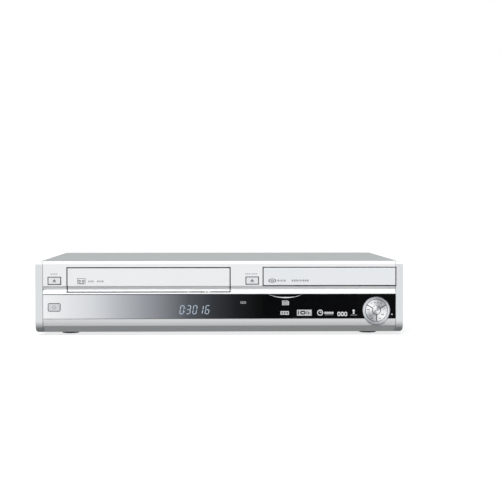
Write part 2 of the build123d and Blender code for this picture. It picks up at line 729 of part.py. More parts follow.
def make_window():
    plate = along_y(rect(-PANEL_HALF + 0.1, PANEL_HALF - 0.1, WINDOW_Z0, WINDOW_Z1), WINDOW_Y, SEAT_Y)
    plate = plate - opening(POWER_X, POWER_Z, POWER_W, POWER_H, BUTTON_R, BUTTON_GAP)
    plate = plate - along_y(disc(RING_X, RING_Z, DISH_R), FRONT_Y, SEAT_Y + 1)
    plate = plate - along_y(
        rect(DOOR_X0 - DOOR_GAP, DOOR_X1 + DOOR_GAP, WINDOW_Z0 - 1, WINDOW_Z1 + 1), FRONT_Y, SEAT_Y + 1)
    pin_hole = along_x(disc(DOOR_PIVOT_Y, DOOR_PIVOT_Z, DOOR_PIN_R + RUNNING),
                       DOOR_X0 - DOOR_PIN_L - 0.3, DOOR_X1 + DOOR_PIN_L + 0.3)
    PARTS["display_window"] = plate - pin_hole


def make_front_door():
    """Door over the front sockets, with a bevelled finger scoop in its upper edge."""
    plate = along_y(rect(DOOR_X0, DOOR_X1, WINDOW_Z0, WINDOW_Z1), WINDOW_Y, WINDOW_Y + DOOR_T)
    scoop_x = DOOR_X0 + SCOOP_INSET
    scoop_z = WINDOW_Z1 - SCOOP_DROP + SCOOP_R
    lean = math.tan(math.radians(SCOOP_LEAN)) * SCOOP_DEPTH
    front_edge = Plane.XZ.offset(-WINDOW_Y) * disc(scoop_x, scoop_z, SCOOP_R)
    rear_edge = Plane.XZ.offset(-WINDOW_Y - SCOOP_DEPTH) * disc(scoop_x, scoop_z + lean, SCOOP_R)
    plate = plate - loft([front_edge.face(), rear_edge.face()])
    pins = disc(DOOR_PIVOT_Y, DOOR_PIVOT_Z, DOOR_PIN_R)
    pins = along_x(pins, DOOR_X0 - DOOR_PIN_L, DOOR_X1 + DOOR_PIN_L)
    lower = [e for e in plate.edges().filter_by(Axis.X) if e.center().Z < WINDOW_Z0 + 0.01]
    plate = chamfer(lower, 0.5)
    PARTS["front_door"] = plate + pins


def make_cassette_flap():
    """Flap cut from the panel's own wall form, hung on ears above its upper edge."""
    band = front_shell_section() & rect(FRONT_Y - 1, PANEL_BACK - 8, FLAP_Z0, FLAP_Z1)
    flap = along_x(band, FLAP_X0, FLAP_X1)
    wall_y = FACE_Y + MOULD_WALL - 0.5
    ear = disc(PIVOT_Y, PIVOT_Z, FLAP_EAR_R) + polygon(
        (PIVOT_Y - FLAP_EAR_R, PIVOT_Z), (PIVOT_Y + FLAP_EAR_R, PIVOT_Z),
        (PIVOT_Y + FLAP_EAR_R, FLAP_Z1 - FLAP_EAR_R), (wall_y, FLAP_Z1 - FLAP_RIB_DROP - 1),
        (wall_y, FLAP_Z1 - 0.4), (PIVOT_Y - FLAP_EAR_R, FLAP_Z1 - 0.4))
    for side, x in ((1, FLAP_X0), (-1, FLAP_X1)):
        x0, x1 = sorted((x, x + side * FLAP_EAR_T))
        flap = flap + along_x(ear, x0, x1)
        p0, p1 = sorted((x + side, x - side * FLAP_PIN_L))
        flap = flap + along_x(disc(PIVOT_Y, PIVOT_Z, FLAP_PIN_R), p0, p1)
    for x in (FLAP_X0 + FLAP_LINE_INSET, FLAP_X1 - FLAP_LINE_INSET):
        line = rect(x - FLAP_LINE_W / 2, x + FLAP_LINE_W / 2, FACE_Z0, FLAP_Z1 + 1)
        flap = flap - along_y(line, FACE_Y - 1, FACE_Y + FLAP_LINE_DEPTH)
    # stiffening rib along the inside
    rib_z = FLAP_Z1 - FLAP_RIB_DROP
    flap = flap + block(FLAP_X0 + 6, FLAP_X1 - 6, wall_y, FACE_Y + MOULD_WALL + FLAP_RIB_T,
                        rib_z, rib_z + FLAP_RIB_H)
    PARTS["cassette_flap"] = flap


def push_button(x, z, width, height, face_y):
    """Cap with a softened edge and a stem that reaches to its switch."""
    back = face_y + BUTTON_LENGTH
    cap = along_y(round_rect(x, z, width, height, BUTTON_R), face_y, back)
    rim = [e for e in cap.edges() if abs(e.center().Y - face_y) < 0.01]
    cap = fillet(rim, BUTTON_EDGE)
    stem_end = CONTROL_Y - SWITCH_DEPTH - BUTTON_TRAVEL - SWITCH_AIR
    return cap + along_y(disc(x, z, STEM_R), back - 0.5, stem_end)


def make_buttons():
    side_y = FACE_Y - BUTTON_PROUD
    PARTS["cassette_eject_button"] = push_button(EJECT_X, BUTTON_Z, BUTTON_W, BUTTON_H, side_y)
    PARTS["disc_open_button"] = push_button(OPEN_X, BUTTON_Z, BUTTON_W, BUTTON_H, side_y)
    PARTS["power_button"] = push_button(POWER_X, POWER_Z, POWER_W, POWER_H, WINDOW_Y - BUTTON_PROUD)


def make_key_cluster():
    """Metal ring with three sector keys, parted by narrow gaps, round a centre key."""
    y0 = FRONT_Y
    back = y0 + RING_LENGTH
    profile = make_face(Polyline(
        (RING_BORE_R, back), (RING_BORE_R, y0 + RING_LEAD), (RING_BORE_R + RING_LEAD, y0),
        (RING_R - RING_EDGE, y0), (RING_R, y0 + RING_EDGE), (RING_R, back), close=True))
    to_cluster = Pos(RING_X, 0, RING_Z)
    # (radius, y) sketch turned round the cluster's own Y axis
    PARTS["key_ring"] = to_cluster * revolve(profile, Axis.Y)
    outer_r = RING_BORE_R - FIT
    inner_r = KEY_CENTRE_R + FIT * 2
    cone = make_face(Polyline(
        (0, y0 + KEY_LENGTH), (0, y0), (inner_r, y0), (outer_r, y0 + KEY_CONE),
        (outer_r, y0 + KEY_LENGTH), close=True))
    cone = to_cluster * revolve(cone, Axis.Y)
    sectors = Sketch() + Circle(outer_r) - Circle(inner_r)
    for angle in KEY_ANGLES:
        sectors = sectors - Rot(0, 0, angle) * Pos(outer_r / 2, 0) * Rectangle(outer_r + 2, KEY_GAP)
    stem_end = CONTROL_Y - SWITCH_DEPTH - BUTTON_TRAVEL - SWITCH_AIR
    names = {90: "key_up", 210: "key_left", 330: "key_right"}
    for face in sectors.faces():
        angle = math.degrees(math.atan2(face.center().Y, face.center().X)) % 360
        name = names[min(names, key=lambda a: abs(a - angle))]
        key = along_y(Pos(RING_X, RING_Z) * face, y0 - 1, y0 + KEY_LENGTH) & cone
        stem_x, stem_z = key_stem(angle)
        PARTS[name] = key + along_y(disc(stem_x, stem_z, STEM_R), y0 + KEY_LENGTH - 0.5, stem_end)
    centre = along_y(disc(RING_X, RING_Z, KEY_CENTRE_R), y0, y0 + KEY_LENGTH)
    rim = [e for e in centre.edges() if abs(e.center().Y - y0) < 0.01]
    centre = fillet(rim, BUTTON_EDGE)
    PARTS["key_centre"] = centre + along_y(disc(RING_X, RING_Z, STEM_R), y0 + KEY_LENGTH - 0.5, stem_end)


def key_stem(angle):
    """Where the stem of a sector key stands."""
    a = math.radians(angle)
    r = (RING_BORE_R + KEY_CENTRE_R) / 2 + 0.6
    return RING_X + r * math.cos(a), RING_Z + r * math.sin(a)


def make_control_board():
    """Board behind the panel, with tabs up to the two side buttons, its switches and the display."""
    y0, y1 = CONTROL_Y, CONTROL_Y + BOARD_T
    half = PANEL_HALF - CONTROL_INSET
    outline = rect(-half, half, CONTROL_Z0, CONTROL_Z1)
    for x in (EJECT_X, OPEN_X):
        outline = outline + rect(x - CONTROL_TAB_W / 2, x + CONTROL_TAB_W / 2, CONTROL_Z0, CONTROL_TAB_Z1)
    x0, x1, z0, z1 = front_socket_area()
    outline = outline - rect(x0 - FIT, x1 + FIT, z0 - FIT, z1 + FIT)
    board = along_y(outline, y0, y1)
    spots = [(EJECT_X, BUTTON_Z), (OPEN_X, BUTTON_Z), (POWER_X, POWER_Z), (RING_X, RING_Z)]
    spots += [key_stem(angle) for angle in (90, 210, 330)]
    s = SWITCH_HALF
    switches = [along_y(rect(x - s, x + s, z - s, z + s), y0 - SWITCH_DEPTH, y0) for x, z in spots]
    PARTS["control_board"] = group([board] + switches)
    glass = block(DISPLAY_X - DISPLAY_W / 2, DISPLAY_X + DISPLAY_W / 2, y0 - DISPLAY_T, y0 - DISPLAY_AIR,
                  DISPLAY_Z - DISPLAY_H / 2, DISPLAY_Z + DISPLAY_H / 2)
    legs = [block(x - 4, x + 4, y0 - DISPLAY_AIR, y0, DISPLAY_Z - 7, DISPLAY_Z + 7)
            for x in (DISPLAY_X - DISPLAY_LEG_DX, DISPLAY_X + DISPLAY_LEG_DX)]
    PARTS["display_module"] = glass + legs


def front_socket_area():
    """Window in the control board that the front sockets stand in."""
    first = DOOR_X0 + FRONT_PHONO_INSET
    margin = FRONT_SOCKET_MARGIN
    return first - margin, first + 3 * PHONO_PITCH + margin, SOCKET_ROW_Z - margin - 2, SOCKET_ROW_Z + margin


def make_front_sockets():
    x0, x1, z0, z1 = front_socket_area()
    z = SOCKET_ROW_Z
    face_y = SEAT_Y + MOULD_WALL + FRONT_SOCKET_SET
    floor_y = face_y + FRONT_SOCKET_DEPTH
    body = block(x0, x1, face_y, CONTROL_Y + FRONT_SOCKET_BACK, z0, z1)
    for i in range(3):
        x = DOOR_X0 + FRONT_PHONO_INSET + i * PHONO_PITCH
        inside = disc(x, z, PHONO_R - PHONO_WALL)
        body = body - along_y(inside, face_y - 1, floor_y)
        body = body + along_y(disc(x, z, PHONO_R) - inside, face_y - FRONT_JACK_L, face_y + 1)
        pin = disc(x, z, PHONO_BORE_R + 0.5) - disc(x, z, PHONO_BORE_R)
        body = body + along_y(pin, face_y - 1.5, floor_y + 0.5)
    x = DOOR_X0 + FRONT_PHONO_INSET + 3 * PHONO_PITCH
    body = body - along_y(disc(x, z, DIN_R), face_y - 1, floor_y)
    card_x0 = x1 + CARD_GAP
    card_x1 = card_x0 + CARD_W
    card = block(card_x0, card_x1, CONTROL_Y - CARD_D, CONTROL_Y, z - CARD_HALF_H, z + CARD_HALF_H)
    slot = block(card_x0 + CARD_MARGIN, card_x1 - CARD_MARGIN, CONTROL_Y - CARD_D - 1, CONTROL_Y - 0.8,
                 z - CARD_SLOT_HALF_H, z + CARD_SLOT_HALF_H)
    PARTS["front_sockets"] = group([body, card - slot])


# ---------------------------------------------------------------- case
def board_bosses():
    """Places of the raised bosses under the boards."""
    e = BOARD_HOLE_IN
    main = [(x, y) for x in (MAIN_X0 + e, MAIN_X1 - e) for y in (MAIN_Y0 + e, REAR_IN_Y - 30)]
    supply = [(x, y) for x in (PSU_X0 + e, PSU_X1 - e) for y in (PSU_Y0 + e, REAR_IN_Y - 12)]
    return main + supply


def make_chassis():
    plan = rect(-CHASSIS_HALF, CHASSIS_HALF, PANEL_BACK + SEAM, REAR_FACE_Y)
    vent_y = REAR_IN_Y - FLOOR_VENT_BACK
    for i in range(VENTS):
        for first in (PSU_X0 + FLOOR_VENT_IN, MAIN_X0 + FLOOR_VENT_IN + 0.14 * WIDTH):
            x = first + i * VENT_PITCH
            plan = plan - rect(x - VENT_HALF, x + VENT_HALF, vent_y - FLOOR_VENT_L, vent_y)
    pan = along_z(plan, CHASSIS_Z, FLOOR_Z)
    for side in (-1, 1):
        x0, x1 = sorted((side * CHASSIS_HALF, side * (CHASSIS_HALF - SHEET)))
        pan = pan + block(x0, x1, PANEL_BACK + SEAM + 4, REAR_IN_Y - 2, CHASSIS_Z, CHASSIS_Z + CHASSIS_WALL_H)
    for x, y in board_bosses():
        pan = pan + along_z(disc(x, y, BOSS_R), FLOOR_Z, BOARD_Z)
    for x, y in side_screws():
        pan = pan - along_x(disc(y, SIDE_SCREW_Z, SCREW_R + SCREW_CLEAR), x - 8, x + 8)
    PARTS["bottom_chassis"] = pan


def side_screws():
    places = (FRONT_Y + SIDE_SCREW_IN, REAR_Y - SIDE_SCREW_BACK)
    return [(side * COVER_HALF, y) for side in (-1, 1) for y in places]


def flange_screws():
    return [(part * COVER_HALF, FLANGE_SCREW_Z) for part in (-0.776, 0.0, 0.776)]


def make_top_cover():
    z0 = CHASSIS_Z + 0.5
    w = COVER_HALF
    shape = rect(-w, w, z0, COVER_Z1)
    shape = fillet([v for v in shape.vertices() if v.Y > COVER_Z1 - 1], COVER_FOLD_R)
    inner = rect(-w + COVER_SHEET, w - COVER_SHEET, z0 - 1, COVER_IN_Z)
    inner = fillet([v for v in inner.vertices() if v.Y > COVER_IN_Z - 1], COVER_FOLD_R - COVER_SHEET)
    y1 = REAR_FACE_Y + SEAM + COVER_SHEET
    cover = along_y(shape - inner, COVER_Y0, y1)
    flange = rect(-w + COVER_FOLD_R, w - COVER_FOLD_R, COVER_Z1 - COVER_FLANGE_H, COVER_Z1 - 0.3)
    cover = cover + along_y(flange, y1 - COVER_SHEET, y1)
    for i in range(VENTS + 1):
        y = REAR_IN_Y - SIDE_VENT_BACK - i * VENT_PITCH
        cover = cover - block(-w - 1, w + 1, y - VENT_HALF, y + VENT_HALF, SIDE_VENT_Z0, SIDE_VENT_Z1)
    for x, y in side_screws():
        cover = cover - along_x(disc(y, SIDE_SCREW_Z, SCREW_R + SCREW_CLEAR), x - 3, x + 3)
    for x, z in flange_screws():
        cover = cover - along_y(disc(x, z, SCREW_R + SCREW_CLEAR), y1 - 2, y1 + 1)
    PARTS["top_cover"] = cover


def screw(direction, x, y, z):
    """Pan head screw whose head stands on the given side of (x, y, z)."""
    head = Circle(SCREW_HEAD_R)
    shank = Circle(SCREW_R)
    body = extrude(head, SCREW_HEAD_H) + extrude(Plane.XY.offset(-SCREW_L) * shank, SCREW_L)
    turn = {"+x": Rot(0, 90, 0), "-x": Rot(0, -90, 0), "+y": Rot(-90, 0, 0)}[direction]
    return Pos(x, y, z) * turn * body


def fan_screw_places():
    half = FAN_SIZE / 2 - 5
    return [(FAN_X + i * half, FAN_Z + j * half) for i in (-1, 1) for j in (-1, 1)]


def make_screws():
    screws = [screw("+x" if x > 0 else "-x", x, y, SIDE_SCREW_Z) for x, y in side_screws()]
    flange_y = REAR_FACE_Y + SEAM + COVER_SHEET
    screws += [screw("+y", x, flange_y, z) for x, z in flange_screws()]
    screws += [screw("+y", x, REAR_FACE_Y, z) for x, z in fan_screw_places()]
    PARTS["case_screws"] = group(screws)


def make_rear_panel():
    half = CHASSIS_HALF - SEAM
    face = rect(-half, half, FLOOR_Z, COVER_IN_Z - SEAM)
    face = face - rear_cutouts()
    for i in range(-4, 5):
        dx = i * GRILLE_PITCH
        reach = math.sqrt(GRILLE_R ** 2 - dx ** 2)
        x0, x1 = FAN_X + dx - GRILLE_HALF, FAN_X + dx + GRILLE_HALF
        face = face - rect(x0, x1, FAN_Z - reach, FAN_Z - GRILLE_BAR_HALF)
        face = face - rect(x0, x1, FAN_Z + GRILLE_BAR_HALF, FAN_Z + reach)
    for x, z in fan_screw_places() + flange_screws():
        face = face - disc(x, z, SCREW_R + SCREW_CLEAR)
    PARTS["rear_panel"] = along_y(face, REAR_IN_Y, REAR_FACE_Y)


def rear_cutouts():
    """Holes in the rear panel, each a clearance larger than the socket that stands in it."""
    g = TOUCH
    cut = round_rect(INLET_X, INLET_Z, INLET_W + 2 * g, INLET_H + 2 * g, INLET_R + g)
    for z in SCART_Z:
        cut = cut + rect(SCART_X - SCART_W / 2 - g, SCART_X + SCART_W / 2 + g, z - SCART_H / 2 - g,
                         z + SCART_H / 2 + g)
    for x, z in phono_places():
        cut = cut + disc(x, z, PHONO_R + PHONO_COLLAR + g)
    for x, half_w, half_h in ((HDMI_X, HDMI_HALF_W, HDMI_HALF_H), (OPTICAL_X, OPTICAL_HALF, OPTICAL_HALF)):
        cut = cut + rect(x - half_w - g, x + half_w + g, DIGITAL_Z - half_h - g, DIGITAL_Z + half_h + g)
    for z in AERIAL_Z:
        cut = cut + disc(AERIAL_X, z, AERIAL_FLANGE_R + g)
    return cut


def phono_places():
    return [(PHONO_X + i * PHONO_PITCH, PHONO_Z + j * PHONO_PITCH) for i in (-1, 0, 1) for j in (-0.5, 0.5)]


def make_feet():
    profile = rect(0, FOOT_R, 0, CHASSIS_Z)
    profile = fillet([v for v in profile.vertices() if v.X > 1 and v.Y < 1], FOOT_EDGE_R)
    foot = revolve(Plane.XZ * profile, Axis.Z)
    places = [(side * FOOT_X, y) for side in (-1, 1) for y in (FOOT_FRONT_Y, FOOT_REAR_Y)]
    PARTS["feet"] = group([Pos(x, y, 0) * foot for x, y in places])


# ---------------------------------------------------------------- rear sockets, power supply, main board
def make_mains_inlet():
    """Two-pin inlet with a figure-of-eight recess."""
    outside = REAR_FACE_Y + INLET_RIM_T
    inside = REAR_IN_Y - INLET_D
    body = along_y(round_rect(INLET_X, INLET_Z, INLET_W, INLET_H, INLET_R), inside, REAR_FACE_Y)
    rim = round_rect(INLET_X, INLET_Z, INLET_W + 2 * INLET_RIM, INLET_H + INLET_RIM, INLET_R + 1)
    body = body + along_y(rim, REAR_FACE_Y, outside)
    x0, x1 = INLET_X - INLET_PIN_DX, INLET_X + INLET_PIN_DX
    eight = disc(x0, INLET_Z, INLET_LOBE_R) + disc(x1, INLET_Z, INLET_LOBE_R)
    eight = eight + rect(x0, x1, INLET_Z - INLET_WAIST, INLET_Z + INLET_WAIST)
    body = body - along_y(eight, outside - INLET_RECESS, outside + 1)
    for x in (x0, x1):
        body = body + along_y(disc(x, INLET_Z, INLET_PIN_R), outside - INLET_RECESS - 0.5, outside - 2)
    stand = block(INLET_X - 10, INLET_X + 10, inside, REAR_IN_Y - 2, BOARD_Z + BOARD_T, INLET_Z - 6)
    PARTS["mains_inlet"] = body + stand


def make_scart_sockets():
    """Two 21-way sockets, one above the other, each a hollow shroud with a contact bar."""
    sockets = []
    outside = REAR_FACE_Y + 1.0
    x0, x1 = SCART_X - SCART_BAR_HALF, SCART_X + SCART_BAR_HALF
    for z in SCART_Z:
        w, h = SCART_W / 2, SCART_H / 2
        shell = along_y(rect(SCART_X - w, SCART_X + w, z - h, z + h), outside - SCART_D, outside)
        mw, mh = SCART_MOUTH_HALF_W, SCART_MOUTH_HALF_H
        key = SCART_KEY
        mouth = polygon(
            (SCART_X - mw, z - mh), (SCART_X + mw - key, z - mh), (SCART_X + mw, z - mh + key),
            (SCART_X + mw, z + mh), (SCART_X - mw, z + mh))
        shell = shell - along_y(mouth, outside - SCART_MOUTH_D, outside + 1)
        bar = rect(x0, x1 - 1, z - SCART_BAR_T / 2, z + SCART_BAR_T / 2)
        sockets.append(shell + along_y(bar, outside - SCART_MOUTH_D - 0.5, outside - 2.5))
    low, high = SCART_Z
    y0, y1 = outside - SCART_D, REAR_IN_Y - 2
    stand = block(x0, x1, y0, y1, BOARD_Z + BOARD_T, low - SCART_H / 2)
    link = block(x0, x1, y0, y1, low + SCART_H / 2, high - SCART_H / 2)
    PARTS["scart_sockets"] = sockets[0] + sockets[1] + stand + link


def phono_block():
    """Block of six phono sockets with hollow centre contacts."""
    x0, x1 = PHONO_X - 1.5 * PHONO_PITCH, PHONO_X + 1.5 * PHONO_PITCH
    z1 = PHONO_Z + PHONO_PITCH
    body = block(x0, x1, REAR_IN_Y - PHONO_BLOCK_D, REAR_IN_Y - TOUCH, BOARD_Z + BOARD_T, z1)
    for x, z in phono_places():
        body = body + along_y(disc(x, z, PHONO_R + PHONO_COLLAR), REAR_IN_Y - 1, REAR_FACE_Y + 0.6)
        body = body + along_y(disc(x, z, PHONO_R), REAR_IN_Y - 1, REAR_Y - 1.2)
        body = body - along_y(disc(x, z, PHONO_R - PHONO_WALL), REAR_FACE_Y - 2, REAR_Y)
        contact = disc(x, z, PHONO_BORE_R + PHONO_WALL) - disc(x, z, PHONO_BORE_R)
        body = body + along_y(contact, REAR_FACE_Y - 3, REAR_Y - 2.2)
        body = body - along_y(disc(x, z, PHONO_BORE_R), REAR_FACE_Y - 6, REAR_Y)
    return body


def make_av_sockets():
    """Phono block beside the digital video and optical sockets."""
    outside = REAR_FACE_Y + 0.6
    y0 = REAR_IN_Y - DIGITAL_D
    z = DIGITAL_Z
    bodies = []
    for x, half_w, half_h in ((HDMI_X, HDMI_HALF_W, HDMI_HALF_H), (OPTICAL_X, OPTICAL_HALF, OPTICAL_HALF)):
        body = along_y(rect(x - half_w, x + half_w, z - half_h, z + half_h), y0, outside)
        stand = block(x - 4, x + 4, y0, REAR_IN_Y - 3, BOARD_Z + BOARD_T, z - half_h)
        bodies.append(body + stand)
    hdmi, optical = bodies
    mw, mh = HDMI_HALF_W - HDMI_WALL, HDMI_HALF_H - HDMI_WALL
    key = HDMI_KEY
    mouth = polygon(
        (HDMI_X - mw + key, z - mh), (HDMI_X + mw - key, z - mh), (HDMI_X + mw, z - mh + key),
        (HDMI_X + mw, z + mh), (HDMI_X - mw, z + mh), (HDMI_X - mw, z - mh + key))
    hdmi = hdmi - along_y(mouth, outside - HDMI_MOUTH_D, outside + 1)
    tongue = rect(HDMI_X - HDMI_TONGUE_HALF, HDMI_X + HDMI_TONGUE_HALF, z - 0.1, z + 0.9)
    hdmi = hdmi + along_y(tongue, outside - HDMI_MOUTH_D - 0.5, outside - 1.5)
    shutter = rect(OPTICAL_X - SHUTTER_HALF, OPTICAL_X + SHUTTER_HALF, z - SHUTTER_HALF, z + SHUTTER_HALF)
    optical = optical - along_y(shutter, outside - 1.5, outside + 1)
    PARTS["av_sockets"] = group([phono_block(), hdmi, optical])


def make_aerial_sockets():
    """Shielded tuner can with an aerial input and a loop-through output."""
    can_back = REAR_IN_Y - TOUCH
    can = block(AERIAL_X - CAN_HALF, AERIAL_X + CAN_HALF, can_back - CAN_D, can_back,
                BOARD_Z + BOARD_T, AERIAL_Z[1] + CAN_RISE)
    for z in AERIAL_Z:
        can = can + along_y(disc(AERIAL_X, z, AERIAL_FLANGE_R), can_back - 1, REAR_FACE_Y + AERIAL_FLANGE_T)
        can = can + along_y(disc(AERIAL_X, z, AERIAL_R), can_back - 1, REAR_Y)
        can = can - along_y(disc(AERIAL_X, z, AERIAL_R - 0.7), REAR_FACE_Y - 2, REAR_Y + 1)
    pin = disc(AERIAL_X, AERIAL_Z[0], 1.2)
    sleeve = disc(AERIAL_X, AERIAL_Z[1], 2.2) - disc(AERIAL_X, AERIAL_Z[1], 1.3)
    can = can + along_y(pin, REAR_FACE_Y - 3, REAR_Y - 1) + along_y(sleeve, REAR_FACE_Y - 3, REAR_Y - 1)
    PARTS["aerial_sockets"] = can


def make_boards():
    top = BOARD_Z + BOARD_T
    main = rect(MAIN_X0, MAIN_X1, MAIN_Y0, BOARD_Y1)
    for x, y in hdd_posts():
        main = main - disc(x, y, BOSS_R + FIT)
    cx, cy = (MAIN_X0 + MAIN_X1) / 2, (MAIN_Y0 + BOARD_Y1) / 2
    pieces = [along_z(main, BOARD_Z, top)]
    for side, height, dx, dy in CHIPS:
        pieces.append(along_z(Pos(cx + dx, cy + dy) * Rectangle(side, side), top, top + height))
    for dx, dy in MAIN_CANS:
        pieces.append(along_z(disc(cx + dx, cy + dy, CAN_R), top, top + CAN_H))
    # finned cooler on the second chip
    chip, height, dx, dy = CHIPS[1]
    x0, y0 = cx + dx - FIN_SIDE / 2, cy + dy - FIN_SIDE / 2
    base = top + height
    cooler = block(x0, x0 + FIN_SIDE, y0, y0 + FIN_SIDE, base, base + FIN_T)
    for i in range(5):
        x = x0 + i * FIN_PITCH
        cooler = cooler + block(x, x + FIN_T, y0, y0 + FIN_SIDE, base, base + FIN_T + FIN_H)
    PARTS["main_board"] = group(pieces + [cooler])
    supply = along_z(rect(PSU_X0, PSU_X1, PSU_Y0, BOARD_Y1), BOARD_Z, top)
    cx, cy = (PSU_X0 + PSU_X1) / 2, (PSU_Y0 + BOARD_Y1) / 2
    pieces = [supply, transformer(cx + CORE_X, cy + CORE_Y, top)]
    for radius, height, dx, dy in PSU_CANS:
        pieces.append(along_z(disc(cx + dx, cy + dy, radius), top, top + height))
    x, y0 = cx + SINK_X, cy + SINK_Y0
    sink = block(x - SINK_T / 2, x + SINK_T / 2, y0, y0 + SINK_L, top, top + SINK_H)
    for i in range(4):
        y = y0 + (i + 0.25) * SINK_L / 4
        reach = SINK_T / 2 + SINK_FIN_REACH
        sink = sink + block(x - reach, x + reach, y, y + 2, top, top + SINK_H)
    PARTS["power_supply_board"] = group(pieces + [sink])


def transformer(x, y, z):
    """Closed core round a winding."""
    w, d = CORE_W / 2, CORE_D / 2
    core = block(x - w, x + w, y - d, y + d, z, z + CORE_T)
    core = core + block(x - w, x + w, y - d, y + d, z + CORE_H - CORE_T, z + CORE_H)
    core = core + block(x - w, x - w + CORE_LEG, y - d, y + d, z, z + CORE_H)
    core = core + block(x + w - CORE_LEG, x + w, y - d, y + d, z, z + CORE_H)
    winding = round_rect(x, y, CORE_W - 2 * CORE_LEG - 2, CORE_D + 6, 4)
    return core + along_z(winding, z + CORE_T, z + CORE_H - CORE_T)


def hdd_posts():
    return [(HDD_X + i * (HDD_W / 2 - 20), y) for i in (-1, 1) for y in (HDD_Y0 + 12, HDD_Y1 - 14)]


def make_hard_drive():
    y = (HDD_Y0 + HDD_Y1) / 2
    lid_z = HDD_Z0 + HDD_H - HDD_LID_T
    casting = along_z(round_rect(HDD_X, y, HDD_W, HDD_D, 3), HDD_Z0, lid_z)
    lid = round_rect(HDD_X, y, HDD_W - 2 * HDD_LID_IN, HDD_D - 2 * HDD_LID_IN, 5)
    PARTS["hard_drive"] = casting + along_z(lid, lid_z, lid_z + HDD_LID_T)


def hard_drive_tray():
    """Sheet tray on four posts that the hard drive lies in."""
    t = HDD_TRAY_T
    x0, x1 = HDD_X - HDD_W / 2 - HDD_TRAY_LIP, HDD_X + HDD_W / 2 + HDD_TRAY_LIP
    window = round_rect(HDD_X, (HDD_Y0 + HDD_Y1) / 2, HDD_W - 40, HDD_D - 44, 6)
    tray = along_z(rect(x0, x1, HDD_Y0, HDD_Y1) - window, HDD_Z0 - t, HDD_Z0)
    for x in (x0, x1 - t):
        tray = tray + block(x, x + t, HDD_Y0, HDD_Y1, HDD_Z0 - t, HDD_Z0 + HDD_TRAY_WALL)
    for x, y in hdd_posts():
        tray = tray + along_z(disc(x, y, BOSS_R), FLOOR_Z, HDD_Z0 - t)
    return tray


def make_fan():
    y1 = REAR_IN_Y - TOUCH
    y0 = y1 - FAN_T
    ring = round_rect(FAN_X, FAN_Z, FAN_SIZE, FAN_SIZE, 4) - disc(FAN_X, FAN_Z, FAN_BORE_R)
    frame = along_y(ring, y0, y1)
    for x, z in fan_screw_places():
        frame = frame - along_y(disc(x, z, SCREW_R + SCREW_CLEAR), y0 - 1, y1 + 1)
    spider = disc(FAN_X, FAN_Z, FAN_HUB_R)
    for i in range(3):
        arm = Pos(FAN_BORE_R / 2 + 1, 0) * Rectangle(FAN_BORE_R, 3)
        spider = spider + Pos(FAN_X, FAN_Z) * Rot(0, 0, 90 + 120 * i) * arm
    frame = frame + along_y(spider, y0, y0 + FAN_SPIDER_T)
    frame = frame + along_y(disc(FAN_X, FAN_Z, FAN_SHAFT_R), y0 + 1, y0 + FAN_SHAFT_L)
    PARTS["fan_frame"] = frame
    hub = disc(FAN_X, FAN_Z, FAN_HUB_R) - disc(FAN_X, FAN_Z, FAN_SHAFT_R + RUNNING)
    hub = along_y(hub, y0 + FAN_SPIDER_T + 0.5, y1 - 1.0)
    root = Plane.XY.offset(FAN_HUB_R - 0.5) * Rot(0, 0, BLADE_ROOT_TURN) * Rectangle(1.6, 11.0)
    tip = Plane.XY.offset(FAN_TIP_R) * Rot(0, 0, BLADE_TIP_TURN) * Rectangle(1.2, 12.5)
    blade = loft([root.face(), tip.face()])
    for i in range(FAN_BLADES):
        hub = hub + Pos(FAN_X, (y0 + y1) / 2 + 0.8, FAN_Z) * Rot(0, 360 / FAN_BLADES * i, 0) * blade
    PARTS["fan_rotor"] = hub


# ---------------------------------------------------------------- tape deck
def make_deck_base():
    x0, x1 = DECK_X - DECK_HALF, DECK_X + DECK_HALF
    y0, y1 = PANEL_BACK + 2, DECK_Y1
    t = DECK_RIM_T
    plan = rect(x0, x1, y0, y1) - round_rect(DECK_X, CAPSTAN_Y - 28, 60, 26, 4)
    plan = plan - round_rect(DECK_X - 70, CAPSTAN_Y + 6, 30, 52, 4)
    plate = along_z(plan, DECK_Z, DECK_TOP)
    rim = rect(x0, x1, y0, y1) - rect(x0 + t, x1 - t, y0 + t, y1 - t)
    plate = plate + along_z(rim, DECK_Z - DECK_RIM, DECK_Z)
    for x in (x0 + DECK_POST_IN, x1 - DECK_POST_IN):
        for y in (y0 + DECK_POST_IN, y1 - DECK_POST_IN):
            plate = plate + along_z(disc(x, y, BOSS_R), FLOOR_Z, DECK_Z)
    for side in (-1, 1):
        post = disc(DECK_X + side * REEL_SPREAD, REEL_Y, REEL_POST_R)
        plate = plate + along_z(post, DECK_Z, REEL_TOP_Z - 1)
    cap_x = DECK_X + CAPSTAN_DX
    plate = plate + along_z(disc(cap_x, CAPSTAN_Y, CAPSTAN_HUB_R), DECK_Z - 2, DECK_TOP + 1)
    plate = plate - along_z(disc(cap_x, CAPSTAN_Y, CAPSTAN_R + RUNNING), DECK_Z - 3, DECK_TOP + 2)
    px, py = pinch_pivot()
    plate = plate + along_z(disc(px, py, PINCH_POST_R), DECK_Z, DECK_TOP + PINCH_POST_L + 2)
    PARTS["deck_base"] = plate


def pinch_pivot():
    """Pivot of the pinch arm: the arm's length beside the roller's place at the capstan."""
    cap_x = DECK_X + CAPSTAN_DX
    return cap_x + PINCH_ARM_L, CAPSTAN_Y + CAPSTAN_R + PINCH_R + PINCH_GAP


def pinch_rest():
    """Roller's centre with the arm swung away from the capstan."""
    px, py = pinch_pivot()
    a = math.radians(180 - PINCH_SWING)
    return px + PINCH_ARM_L * math.cos(a), py + PINCH_ARM_L * math.sin(a)


